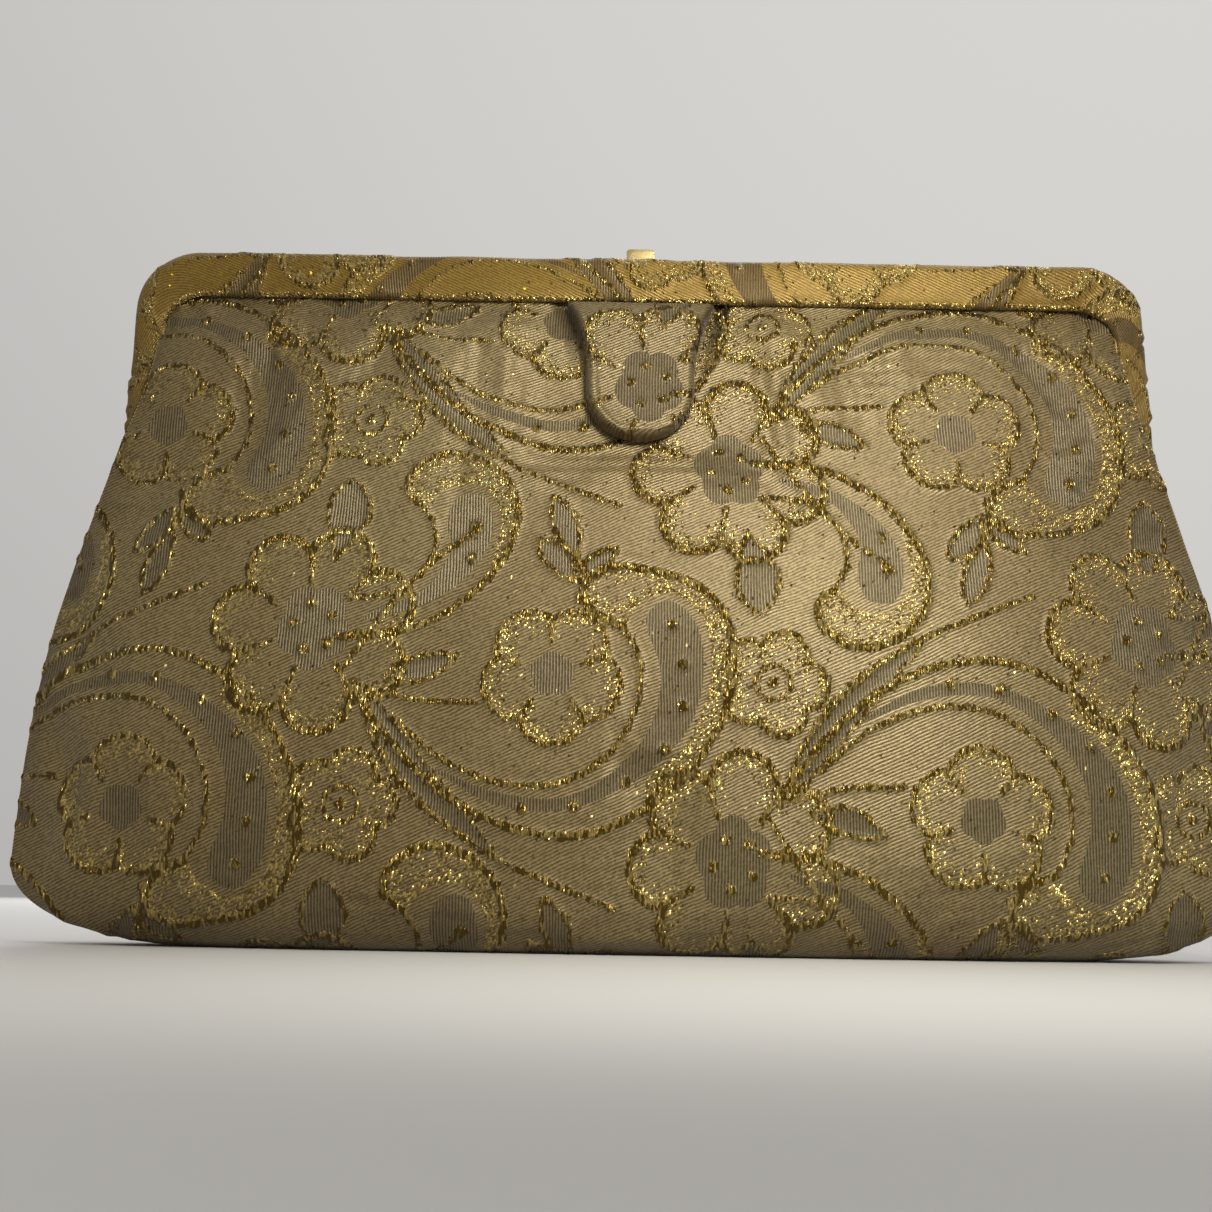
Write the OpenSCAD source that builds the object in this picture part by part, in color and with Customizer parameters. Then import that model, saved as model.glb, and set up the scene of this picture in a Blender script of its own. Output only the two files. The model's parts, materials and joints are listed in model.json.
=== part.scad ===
// Evening clutch purse: a hinged metal bow frame covered in brocade, a soft brocade bag
// gripped in the frame, and a sprung lever latch worked by a cloth-covered tab.
// Upright, +Z up, width along X, front towards -Y, base centre at the origin.

/* [Bag] */
// Width of the bag at its fullest
body_w = 249; // [225:1:290]
// Half width of the flat part of the base
base_half_w = 85; // [60:1:92]
// Depth of the bag at its fullest, front to back
belly_d = 33; // [28:1:42]
// Depth of the flat base, front to back
base_d = 18; // [14:1:22]
// Height at which the bottom corners end
corner_h = 16; // [14:1:22]
// Height of the fullest place
belly_z = 30; // [24:1:40]
// Height at which the bottom roll meets the wall
roll_h = 10; // [8:1:13]

/* [Cloth] */
// Thickness of the brocade with its padding
cloth_t = 1.0; // [0.6:0.1:1.2]
// Thickness of the stiffener boards
board_t = 1.0; // [0.6:0.1:1.2]
// Thickness of the lining
lining_t = 0.5; // [0.4:0.1:0.8]
// Gap left between cloth layers
layer_gap = 0.1; // [0.05:0.05:0.2]
// Depth of the inward fold in each side gusset
gusset_fold = 12; // [8:1:16]
// Width of the slip pocket
pocket_w = 92; // [60:1:120]
// Height of the slip pocket
pocket_h = 52; // [35:1:56]

/* [Frame] */
// Height of the metal frame's top above the base
frame_top = 150; // [140:1:185]
// Width over the metal frame
frame_w = 222; // [190:1:232]
// Outer radius of the frame's top corners
frame_r = 12.5; // [11:0.5:18]
// Height of the top rail
rail_h = 9.6; // [8.5:0.1:14]
// Width of the side arms
arm_w = 5.6; // [5:0.1:7]
// Depth of one half of the frame
half_d = 6.3; // [6:0.1:8]
// Gap between the two closed halves
frame_gap = 1.4; // [1.3:0.1:2]
// Thickness of the frame's sheet metal
metal_t = 0.8; // [0.6:0.1:1]
// Thickness of the brocade glued over the frame
cover_t = 0.5; // [0.3:0.1:0.8]
// Hinge axis below the frame's top
hinge_drop = 46; // [40:1:52]
// Radius of the hinge rivets
rivet_r = 1.0; // [0.8:0.1:1.2]
// Radial clearance of the moving ear on its rivet
rivet_clear = 0.05; // [0.02:0.01:0.1]
// Radius of the packing cord pressed into the frame
packing_r = 0.5; // [0.4:0.05:0.6]

/* [Catch and tab] */
// Width of the brass catch hook
hook_w = 6.4; // [5:0.1:7]
// Height of the hook above the metal frame
hook_rise = 5.7; // [3.5:0.1:8]
// Thickness of the hook's metal
hook_t = 0.9; // [0.7:0.1:1]
// Radius of the latch pin
pin_r = 0.75; // [0.6:0.05:0.8]
// Radial clearance of the lever on its pin
pin_clear = 0.05; // [0.02:0.01:0.08]
// Width of the tab at its rounded end
tab_w = 24.8; // [20:0.2:30]
// Width of the tab where it meets the rail
tab_top_w = 33; // [30:0.5:40]
// Length of the tab
tab_len = 31; // [26:0.5:34]
// Thickness of the padded front of the tab
tab_pad_t = 1.8; // [1:0.1:2.4]

/* [Hidden] */
$fn = 48;

brocade = [0.66, 0.56, 0.34];
old_gold = [0.72, 0.58, 0.26];
satin = [0.80, 0.72, 0.52];
brass = [0.75, 0.62, 0.33];
steel = [0.70, 0.70, 0.70];
board = [0.62, 0.55, 0.44];
eps = 0.01;

// Frame
frame_half = frame_w / 2;
gap_y = frame_gap / 2;
frame_y = gap_y + half_d;
rail_z = frame_top - rail_h;
hinge_z = frame_top - hinge_drop;
arm_end_z = hinge_z + 5;
inner_half = frame_half - arm_w;
inner_r = frame_r - arm_w - 1.5;
ear_r = 3;
ear_gap = 0.3;
ear_joint_h = 3;
front_ear_x = frame_half - metal_t;
back_ear_x = front_ear_x - ear_gap - metal_t;
rivet_head_r = rivet_r + 0.8;
rivet_head_t = 0.5;

// Where the cloth sits inside the frame's groove
groove_y = frame_y - metal_t - 0.6;
tuck_w = inner_half + 2.2;
tuck_z = rail_z + 5.1;
tuck_r = 8;
notch_half = 9.5;
notch_z = rail_z - 4.4;

// The bag's walls
belly_y = belly_d / 2;
side_ratio = 0.5;
wide_z = corner_h + 11;
shoulder_z = hinge_z - 7;
lower_top_z = hinge_z - 9;
split_z = hinge_z + 4;
hinge_side_x = frame_half + 0.5;
hinge_y = groove_y + 5.4;
stiff_off = cloth_t + layer_gap;
lining_wall_gap = 0.8;
lining_off = max(stiff_off + board_t + layer_gap, groove_y - lining_t - lining_wall_gap - gap_y - metal_t);
pocket_off = lining_off + lining_t + 0.2;
stiff_s = 0.93;
lining_s = 0.90;
cols = 18;
base_rows = 2;
roll_rows = 5;
wall_rows = 7;
upper_rows = 6;

// Latch
pin_y = 3.9;
pin_z = frame_top - 7;
barrel_r = pin_r + pin_clear + 0.5;
lever_left = -6.8;
lever_right = 3.4;
neck_half = 6.5;
neck_t = 1.0;
cross_top = rail_z - 2.0;
cross_h = 1.2;
lip_gap = 0.3;
lip_z = pin_z + 1.6;
lip_y = 2.7;
hook_foot_z = rail_z + 0.2;
notch_side = 0.5;
bracket_t = 0.7;
bracket_half = 7.8;
ear_in = 7.0;
lean = atan((hinge_y - groove_y) / (rail_z - split_z));
tab_top_z = rail_z - 1.5;
tab_back_gap = 0.4;
tab_y = groove_y + (rail_z - tab_top_z) * tan(lean) + tab_back_gap;
back_cover_t = 0.5;
core_t = 0.8;

// ---- Frame -------------------------------------------------------------------------------

// A plate cut to a 2D outline in XZ, from depth y_a to depth y_b
module plate_y(y_a, y_b) {
    translate([0, y_b, 0])
        rotate([90, 0, 0])
            linear_extrude(height = y_b - y_a)
                children();
}

// Outline of an arch with round top corners
module arch(half_w, top_z, low_z, r) {
    translate([-half_w, low_z])
        square([2 * half_w, top_z - r - low_z]);
    translate([-half_w + r, low_z])
        square([2 * (half_w - r), top_z - low_z]);
    for (side = [-1, 1])
        translate([side * (half_w - r), top_z - r])
            circle(r);
}

// The opening inside the bow
module bow_opening(y_a, y_b) {
    plate_y(y_a, y_b)
        arch(inner_half, rail_z, arm_end_z - 20, inner_r);
}

// One half of the frame as a channel open towards the bag, drawn on the +Y side
module channel_bow() {
    difference() {
        plate_y(gap_y, frame_y)
            arch(frame_half, frame_top, arm_end_z, frame_r);
        plate_y(gap_y + metal_t, frame_y - metal_t)
            arch(frame_half - metal_t, frame_top - metal_t, arm_end_z - 1, frame_r - metal_t);
        bow_opening(gap_y - 1, frame_y + 1);
    }
}

// Outline in YZ of a hinge ear that hangs from an arm on the +Y side
module ear_outline() {
    lobe = ear_r * sin(45);
    circle_z = hinge_z;
    translate([0, circle_z])
        circle(ear_r);
    polygon([
        [-lobe, hinge_z + lobe],
        [gap_y, arm_end_z + ear_joint_h],
        [frame_y, arm_end_z + ear_joint_h],
        [frame_y, arm_end_z],
        [lobe, hinge_z - lobe]
    ]);
}

// A hinge ear as a plate from x_a, metal_t thick
module ear(x_a) {
    translate([x_a, 0, 0])
        rotate([90, 0, 90])
            linear_extrude(height = metal_t)
                ear_outline();
}

module rivet_hole(r) {
    translate([-frame_half - 1, 0, hinge_z])
        rotate([0, 90, 0])
            cylinder(r = r, h = frame_w + 2);
}

module front_frame() {
    color(brass)
        difference() {
            mirror([0, 1, 0])
                union() {
                    channel_bow();
                    for (side = [0, 1])
                        mirror([side, 0, 0])
                            ear(front_ear_x);
                }
            rivet_hole(rivet_r + rivet_clear);
            hook_notch();
            for (side = [-1, 1])
                bracket_rivet(side, 0.02, 1);
        }
}

module back_frame() {
    color(brass)
        difference() {
            union() {
                channel_bow();
                for (side = [0, 1])
                    mirror([side, 0, 0]) {
                        ear(back_ear_x);
                        translate([back_ear_x, gap_y, arm_end_z])
                            cube([2 * metal_t, half_d, ear_joint_h]);
                    }
            }
            rivet_hole(rivet_r);
            for (low = [0, 1])
                catch_rivet(low, 0.02);
        }
}

// Brocade glued round the outside of one half, drawn on the +Y side
module bow_cover() {
    difference() {
        plate_y(gap_y + 0.2, frame_y + cover_t)
            arch(frame_half + cover_t, frame_top + cover_t, arm_end_z + 0.5, frame_r + cover_t);
        plate_y(gap_y - 1, frame_y)
            arch(frame_half, frame_top, arm_end_z - 1, frame_r);
        bow_opening(gap_y - 1, frame_y + cover_t + 1);
    }
}

module front_frame_cover() {
    color(old_gold)
        difference() {
            mirror([0, 1, 0])
                bow_cover();
            hook_notch();
        }
}

module back_frame_cover() {
    color(old_gold)
        bow_cover();
}

// Each rivet holds the two ears of one side together
module hinge_rivets() {
    shank = front_ear_x + metal_t - back_ear_x;
    color(brass)
        for (side = [0, 1])
            mirror([side, 0, 0])
                translate([back_ear_x, 0, hinge_z])
                    rotate([0, 90, 0]) {
                        cylinder(r = rivet_r, h = shank + rivet_clear + rivet_head_t);
                        translate([0, 0, -rivet_head_t])
                            cylinder(r = rivet_head_r, h = rivet_head_t);
                        translate([0, 0, shank + rivet_clear])
                            cylinder(r = rivet_head_r, h = rivet_head_t);
                    }
}

// Paper cord that wedges the cloth in the groove, drawn on the +Y side from start_x outwards
module packing_run(start_x) {
    cord_y = groove_y - cloth_t - packing_r - 0.1;
    cord_z = tuck_z + 1.2;
    cord_x = inner_half + 2.8;
    bend_r = frame_r - (frame_half - cord_x);
    foot_z = arm_end_z + ear_joint_h + 0.5;
    translate([start_x, cord_y, cord_z])
        rotate([0, 90, 0])
            cylinder(r = packing_r, h = cord_x - bend_r - start_x);
    translate([cord_x - bend_r, cord_y, cord_z - bend_r])
        rotate([90, 0, 0])
            rotate_extrude(angle = 90)
                translate([bend_r, 0])
                    circle(packing_r);
    translate([cord_x, cord_y, foot_z])
        cylinder(r = packing_r, h = cord_z - bend_r - foot_z);
}

module front_packing_cord() {
    color(board)
        for (side = [0, 1])
            mirror([side, 0, 0])
                mirror([0, 1, 0])
                    packing_run(notch_half + 1);
}

module back_packing_cord() {
    color(board)
        for (side = [0, 1])
            mirror([side, 0, 0])
                packing_run(-side * eps);
}

// ---- Catch and latch ---------------------------------------------------------------------

// Way through the front half's top and back for the catch hook, open to the rear
module hook_notch() {
    translate([-hook_w / 2 - notch_side, -lip_y - notch_side, lip_z - 1.4])
        cube([hook_w + 2 * notch_side, lip_y + notch_side - gap_y + 1, frame_top]);
}

module catch_rivet(low, extra) {
    rivet_z = lip_z - 1.6 - 2.4 * low + 0.6;
    translate([0, gap_y - hook_t, rivet_z])
        rotate([-90, 0, 0]) {
            cylinder(r = 0.6 + extra, h = hook_t + metal_t);
            translate([0, 0, hook_t + metal_t])
                cylinder(r = 1.0, h = 0.4);
        }
}

module catch_hook() {
    hook_top = frame_top + hook_rise;
    color(brass)
        difference() {
            intersection() {
                plate_y(-lip_y, gap_y)
                    arch(hook_w / 2, hook_top, hook_foot_z, 0.9);
                union() {
                    translate([-hook_w, gap_y - hook_t, hook_foot_z])
                        cube([2 * hook_w, hook_t, hook_top]);
                    translate([-hook_w, -lip_y, hook_top - hook_t])
                        cube([2 * hook_w, lip_y + gap_y, hook_t]);
                    translate([-hook_w, -lip_y, lip_z])
                        cube([2 * hook_w, hook_t, hook_top]);
                }
            }
            for (low = [0, 1])
                catch_rivet(low, 0.02);
        }
}

module catch_rivets() {
    color(brass)
        for (low = [0, 1])
            catch_rivet(low, 0);
}

// Rivet through the bracket and the front wall, its head inside
module bracket_rivet(side, extra, hole) {
    head_h = hole == 1 ? 0 : 0.5;
    translate([side * 5.8, -frame_y, frame_top - 2.7])
        rotate([-90, 0, 0]) {
            cylinder(r = 0.6 + extra, h = metal_t + bracket_t);
            if (head_h > 0)
                translate([0, 0, metal_t + bracket_t])
                    cylinder(r = 1.0, h = head_h);
        }
}

// Channel-shaped bracket on the front wall that carries the latch pin
module latch_bracket() {
    back_y = -frame_y + metal_t;
    foot_z = rail_z + 0.3;
    ear_margin = 1.7;
    color(steel)
        difference() {
            union() {
                translate([-bracket_half, back_y, foot_z])
                    cube([2 * bracket_half, bracket_t, frame_top - metal_t - 0.2 - foot_z]);
                for (side = [0, 1])
                    mirror([side, 0, 0])
                        translate([ear_in, back_y, pin_z - 2.2])
                            cube([bracket_half - ear_in, -pin_y + ear_margin - back_y, 5]);
            }
            pin_hole(0.01);
            for (side = [-1, 1])
                bracket_rivet(side, 0.02, 1);
        }
}

module bracket_rivets() {
    color(brass)
        for (side = [-1, 1])
            bracket_rivet(side, 0, 0);
}

module pin_hole(extra) {
    translate([-20, -pin_y, pin_z])
        rotate([0, 90, 0])
            cylinder(r = pin_r + extra, h = 40);
}

module latch_pin() {
    color(steel)
        translate([-bracket_half - 0.3, -pin_y, pin_z])
            rotate([0, 90, 0])
                cylinder(r = pin_r, h = 2 * (bracket_half + 0.3));
}

// Torsion spring on the pin: its coils, one leg on the bracket and one behind the lever
module latch_spring() {
    wire = 0.44;
    coil_r = pin_r + 0.15;
    turns = 6;
    ridge = wire / 5;
    leg_in = -pin_y - coil_r - wire + ridge + 0.8 * wire;
    leg_out = -frame_y + metal_t + bracket_t + 0.35;
    first_x = lever_right + 0.4;
    last_x = first_x + (turns - 1) * wire;
    outer = [for (i = [0 : turns - 1], k = [0 : 3])
        [coil_r + wire - (k == 0 || k == 3 ? ridge : 0), (i + k / 3.6) * wire]];
    color(steel) {
        translate([first_x, -pin_y, pin_z])
            rotate([0, 90, 0])
                rotate_extrude()
                    polygon(concat([[coil_r, 0]], outer, [[coil_r, (turns - 0.2) * wire]]));
        translate([first_x, leg_out, pin_z - 0.2])
            cube([wire * 0.8, leg_in - leg_out, 4]);
        translate([last_x, -pin_y + coil_r, pin_z - 3.2])
            cube([wire * 0.8, wire * 0.8, 3.4]);
    }
}

// Half width of the tab at distance d below its top
function tab_half(d) =
    let (straight = tab_len - tab_w / 2 - 1, t = max(0, 1 - d / straight))
    tab_w / 2 + (tab_top_w - tab_w) / 2 * pow(t, 2.2);

// Outline of the tab, flared at the top and round at the foot, shrunk by inset
module tab_outline(inset) {
    n = 8;
    foot_d = tab_len - tab_w / 2;
    foot_r = tab_w / 2 - inset;
    right = [for (i = [0 : n - 1]) let (d = foot_d * i / n) [tab_half(d) - inset, -max(d, inset)]];
    foot = [for (a = [0 : -9 : -180]) [foot_r * cos(a), foot_r * sin(a) - foot_d]];
    left = [for (i = [n - 1 : -1 : 0]) [-right[i][0], right[i][1]]];
    polygon(concat(right, foot, left));
}

// Places the tab's own plane: X across, Y up along the tab, Z outwards
module on_tab() {
    translate([0, -tab_y, tab_top_z])
        rotate([90 - lean, 0, 0])
            children();
}

module latch_lever() {
    core_z = back_cover_t;
    nose_top = lip_z - lip_gap;
    core_y = tab_y + core_z + core_t / 2;
    color(brass)
        difference() {
            union() {
                translate([lever_left, -pin_y, pin_z])
                    rotate([0, 90, 0])
                        cylinder(r = barrel_r, h = lever_right - lever_left);
                translate([-2.6, -pin_y + 0.5, nose_top - 1.3])
                    cube([5.2, 1.5, 1.3]);
                translate([lever_left + 0.3, -pin_y - neck_t / 2, cross_top - cross_h])
                    cube([lever_right - lever_left - 0.3, neck_t, pin_z - 0.6 - cross_top + cross_h]);
                translate([-neck_half, -core_y, cross_top - cross_h])
                    cube([2 * neck_half, core_y - pin_y + neck_t / 2, cross_h]);
                on_tab()
                    translate([0, 0, core_z])
                        linear_extrude(height = core_t)
                            tab_outline(1.2);
            }
            pin_hole(pin_clear);
        }
}

module tab_front_cover() {
    face_z = back_cover_t + core_t;
    color(brocade)
        on_tab() {
            translate([0, 0, face_z])
                linear_extrude(height = tab_pad_t / 2)
                    tab_outline(0);
            translate([0, 0, face_z])
                linear_extrude(height = tab_pad_t)
                    tab_outline(1);
        }
}

module tab_back_cover() {
    color(satin)
        on_tab()
            difference() {
                linear_extrude(height = back_cover_t)
                    tab_outline(0.6);
                translate([-tab_top_w, cross_top - cross_h - 0.8 - tab_top_z, -1])
                    cube([2 * tab_top_w, 10, 3]);
            }
}

// ---- Bag ---------------------------------------------------------------------------------

// Half width of the bag below the hinge at height z, off inside the surface
function low_half_w(z, off) =
    z < corner_h
        ? base_half_w + (body_w / 2 - base_half_w - off)
            * sqrt(max(0, 1 - pow((corner_h - z) / (corner_h - off), 2)))
        : body_w / 2 - off
            - (body_w / 2 - hinge_side_x) * pow(max(0, z - wide_z) / (hinge_z - wide_z), 2);

// Half width of the cloth held in the frame at height z
function high_half_w(z) =
    let (rise = max(0, z - tuck_z + tuck_r))
    tuck_w - tuck_r + sqrt(pow(tuck_r, 2) - pow(min(rise, tuck_r), 2));

// Half depth at the middle: a belly below the hinge line, a straight slope to the rail above
function mid_y(z) =
    z < split_z
        ? belly_y - (belly_y - hinge_y) * pow((z - belly_z) / (split_z - belly_z), 2)
        : groove_y + (hinge_y - groove_y) * max(0, rail_z - z) / (rail_z - split_z);

function side_y(z) = z < shoulder_z + 1 ? side_ratio * mid_y(z) : groove_y;

// Half depth at height z, for s from -1 at one side to 1 at the other
function wall_y(s, z) = side_y(z) + (mid_y(z) - side_y(z)) * (1 - pow(s, 4));

// Half depth of the flat base
function base_y(s) = base_d / 2 * (1 - (1 - side_ratio) * pow(s, 4));

// Points of one layer below the hinge, from the base's middle up to height top_z
function low_rows(s, off, top_z) = concat(
    [for (i = [0 : base_rows - 1])
        [s * low_half_w(off, off), base_y(s) * i / base_rows, off]],
    [for (i = [0 : roll_rows - 1]) let (a = 90 * i / roll_rows, z = roll_h - (roll_h - off) * cos(a))
        [s * low_half_w(z, off), base_y(s) + (wall_y(s, roll_h) - off - base_y(s)) * sin(a), z]],
    wall_points(s, off, roll_h, top_z)
);

// Points of one layer on the wall below the hinge
function wall_points(s, off, low_z, top_z) =
    [for (i = [0 : wall_rows]) let (z = low_z + (top_z - low_z) * i / wall_rows)
        [s * low_half_w(z, off), wall_y(s, z) - off, z]];

// Points of one layer inside the frame
function high_rows(s, off, low_z, top_z) =
    [for (i = [0 : upper_rows]) let (z = low_z + (top_z - low_z) * i / upper_rows)
        [s * high_half_w(z), wall_y(s, z) - off, z]];

// A closed sheet between two grids of points, each a list of columns
module sheet(outer, inner) {
    nc = len(outer);
    nr = len(outer[0]);
    n = nc * nr;
    points = concat([for (c = outer) each c], [for (c = inner) each c]);
    faces = concat(
        [for (c = [0 : nc - 2], r = [0 : nr - 2]) let (i = c * nr + r)
            each [[i, i + nr, i + 1], [i + 1, i + nr, i + nr + 1]]],
        [for (c = [0 : nc - 2], r = [0 : nr - 2]) let (i = n + c * nr + r)
            each [[i, i + 1, i + nr], [i + 1, i + nr + 1, i + nr]]],
        [for (c = [0 : nc - 2]) let (i = c * nr)
            each [[i, n + i, i + nr], [i + nr, n + i, n + i + nr]]],
        [for (c = [0 : nc - 2]) let (i = c * nr + nr - 1)
            each [[i, i + nr, n + i], [i + nr, n + i + nr, n + i]]],
        [for (r = [0 : nr - 2])
            each [[r, r + 1, n + r], [r + 1, n + r + 1, n + r]]],
        [for (r = [0 : nr - 2]) let (i = (nc - 1) * nr + r)
            each [[i, n + i, i + 1], [i + 1, n + i, n + i + 1]]]
    );
    polyhedron(points = points, faces = faces, convexity = 6);
}

// Positions across the bag, from one side to the other
function across(limit) = [for (i = [0 : cols]) limit * sin(90 * (2 * i / cols - 1))];

// The front is the back mirrored
module to_front() {
    mirror([0, 1, 0])
        children();
}

// The lever's neck passes through this notch in the top edge of the front layers
module neck_notch() {
    translate([-notch_half, -20, notch_z])
        cube([2 * notch_half, 40, 30]);
}

module front_panel_upper() {
    color(brocade)
        difference() {
            to_front()
                sheet(
                    [for (s = across(1)) high_rows(s, 0, split_z, tuck_z)],
                    [for (s = across(1)) high_rows(s, cloth_t, split_z, tuck_z)]
                );
            neck_notch();
        }
}

module front_panel_lower() {
    color(brocade)
        to_front()
            sheet(
                [for (s = across(1)) low_rows(s, 0, lower_top_z)],
                [for (s = across(1)) low_rows(s, cloth_t, lower_top_z)]
            );
}

module back_panel() {
    color(brocade)
        sheet(
            [for (s = across(1)) concat(
                low_rows(s, 0, shoulder_z), high_rows(s, 0, shoulder_z + 2, tuck_z))],
            [for (s = across(1)) concat(
                low_rows(s, cloth_t, shoulder_z), high_rows(s, cloth_t, shoulder_z + 2, tuck_z))]
        );
}

module front_stiffener() {
    color(board)
        to_front()
            sheet(
                [for (s = across(stiff_s)) wall_points(s, stiff_off, roll_h, lower_top_z - 1)],
                [for (s = across(stiff_s)) wall_points(s, stiff_off + board_t, roll_h, lower_top_z - 1)]
            );
}

module back_stiffener() {
    color(board)
        sheet(
            [for (s = across(stiff_s)) wall_points(s, stiff_off, roll_h, shoulder_z)],
            [for (s = across(stiff_s)) wall_points(s, stiff_off + board_t, roll_h, shoulder_z)]
        );
}

module base_board() {
    n = 12;
    edge = 0.6;
    half = base_half_w - edge;
    rim = [for (i = [0 : n]) let (s = 2 * i / n - 1) [s * half, base_y(s) - edge]];
    far = [for (i = [n : -1 : 0]) [rim[i][0], -rim[i][1]]];
    color(board)
        translate([0, 0, stiff_off])
            linear_extrude(height = lining_off - stiff_off - layer_gap)
                polygon(concat(rim, far));
}

// A side gusset folded inwards between the two panels
module gusset() {
    gusset_t = 0.8;
    seat = 0.3;
    n = 8;
    fold_rows = 9;
    low_z = roll_h + 1;
    top_z = lower_top_z;
    function fold_x(t, z) = low_half_w(z, 0) - cloth_t - seat - gusset_fold * (1 - abs(t));
    function half_y(z) = wall_y(1, z) - cloth_t - seat;
    function column(t, inward) =
        [for (i = [0 : fold_rows]) let (z = low_z + (top_z - low_z) * i / fold_rows)
            [fold_x(t, z) - inward, t * half_y(z), z]];
    sheet(
        [for (i = [n : -1 : 0]) column(2 * i / n - 1, 0)],
        [for (i = [n : -1 : 0]) column(2 * i / n - 1, gusset_t)]
    );
}

module right_gusset() {
    color(brocade)
        gusset();
}

module left_gusset() {
    color(brocade)
        mirror([1, 0, 0])
            gusset();
}

module front_lining_upper() {
    color(satin)
        difference() {
            to_front()
                sheet(
                    [for (s = across(1)) high_rows(s, lining_off, split_z, tuck_z)],
                    [for (s = across(1)) high_rows(s, lining_off + lining_t, split_z, tuck_z)]
                );
            neck_notch();
        }
}

module front_lining_lower() {
    color(satin)
        to_front()
            sheet(
                [for (s = across(lining_s)) low_rows(s, lining_off, lower_top_z)],
                [for (s = across(lining_s)) low_rows(s, lining_off + lining_t, lower_top_z)]
            );
}

module back_lining() {
    color(satin)
        sheet(
            [for (s = across(lining_s)) concat(
                low_rows(s, lining_off, shoulder_z),
                high_rows(s, lining_off, shoulder_z + 2, tuck_z))],
            [for (s = across(lining_s)) concat(
                low_rows(s, lining_off + lining_t, shoulder_z),
                high_rows(s, lining_off + lining_t, shoulder_z + 2, tuck_z))]
        );
}

// A patch pocket on the back lining
module slip_pocket() {
    pocket_s = pocket_w / body_w;
    low_z = roll_h + 16;
    color(satin)
        sheet(
            [for (s = across(pocket_s)) wall_points(s, pocket_off, low_z, low_z + pocket_h)],
            [for (s = across(pocket_s)) wall_points(s, pocket_off + lining_t, low_z, low_z + pocket_h)]
        );
}

front_frame();
back_frame();
front_frame_cover();
back_frame_cover();
hinge_rivets();
front_packing_cord();
back_packing_cord();
catch_hook();
catch_rivets();
latch_bracket();
bracket_rivets();
latch_pin();
latch_spring();
latch_lever();
tab_front_cover();
tab_back_cover();
front_panel_upper();
front_panel_lower();
back_panel();
front_stiffener();
back_stiffener();
base_board();
left_gusset();
right_gusset();
front_lining_upper();
front_lining_lower();
back_lining();
slip_pocket();
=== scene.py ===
import json
import math

import bmesh
import bpy
import numpy as np
from mathutils import Matrix, Vector, kdtree, noise

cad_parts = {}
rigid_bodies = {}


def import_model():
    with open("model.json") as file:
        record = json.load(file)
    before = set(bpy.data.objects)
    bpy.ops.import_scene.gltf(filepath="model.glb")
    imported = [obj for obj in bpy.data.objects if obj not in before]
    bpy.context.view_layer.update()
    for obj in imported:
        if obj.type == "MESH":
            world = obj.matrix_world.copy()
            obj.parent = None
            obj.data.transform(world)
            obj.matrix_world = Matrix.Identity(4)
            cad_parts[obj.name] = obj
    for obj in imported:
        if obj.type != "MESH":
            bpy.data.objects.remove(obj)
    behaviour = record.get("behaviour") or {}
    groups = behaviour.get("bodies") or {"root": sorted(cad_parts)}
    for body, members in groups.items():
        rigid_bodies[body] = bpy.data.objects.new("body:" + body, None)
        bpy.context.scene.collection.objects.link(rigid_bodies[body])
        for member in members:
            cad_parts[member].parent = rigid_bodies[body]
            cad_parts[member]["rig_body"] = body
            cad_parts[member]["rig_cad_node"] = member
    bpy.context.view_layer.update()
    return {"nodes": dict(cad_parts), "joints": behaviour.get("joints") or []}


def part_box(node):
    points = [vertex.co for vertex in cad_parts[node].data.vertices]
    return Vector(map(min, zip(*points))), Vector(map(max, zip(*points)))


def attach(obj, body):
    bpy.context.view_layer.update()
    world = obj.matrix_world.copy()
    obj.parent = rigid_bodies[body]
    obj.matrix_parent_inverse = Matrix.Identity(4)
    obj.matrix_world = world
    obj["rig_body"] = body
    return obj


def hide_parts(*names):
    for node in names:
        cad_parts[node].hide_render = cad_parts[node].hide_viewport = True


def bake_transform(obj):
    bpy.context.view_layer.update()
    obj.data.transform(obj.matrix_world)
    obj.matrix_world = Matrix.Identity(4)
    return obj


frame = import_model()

bl_info = {
    "name": "Brocade clutch purse",
    "version": (1, 0, 0),
    "blender": (4, 5, 0),
    "location": "3D View > Sidebar > Clutch",
    "description": "Cloth, rim covers, tab, lining, metal finishes and stage for a frame clutch purse",
    "category": "Add Mesh",
}

MM = 0.001
JOINTS = {joint["name"]: joint for joint in frame["joints"]}


def box_mm(node):
    """Lowest and highest corner of a CAD node, in millimetres."""
    low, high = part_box(node)
    return np.array(low) / MM, np.array(high) / MM


_, BAG_HIGH = box_mm("back_panel")
RIM_LOW, RIM_HIGH = box_mm("front_frame_cover")
HOOK_LOW, HOOK_HIGH = box_mm("catch_hook")
HINGE_Z = JOINTS["frame_open"]["pos_m"][2] / MM
NOTCH_HALF = (HOOK_HIGH[0] - HOOK_LOW[0]) / 2 + 0.5  # half width of the gap in the rim for the hook


def length_property(name, description, mm):
    return bpy.props.FloatProperty(name=name, description=description, default=mm * MM, unit="LENGTH")


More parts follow.
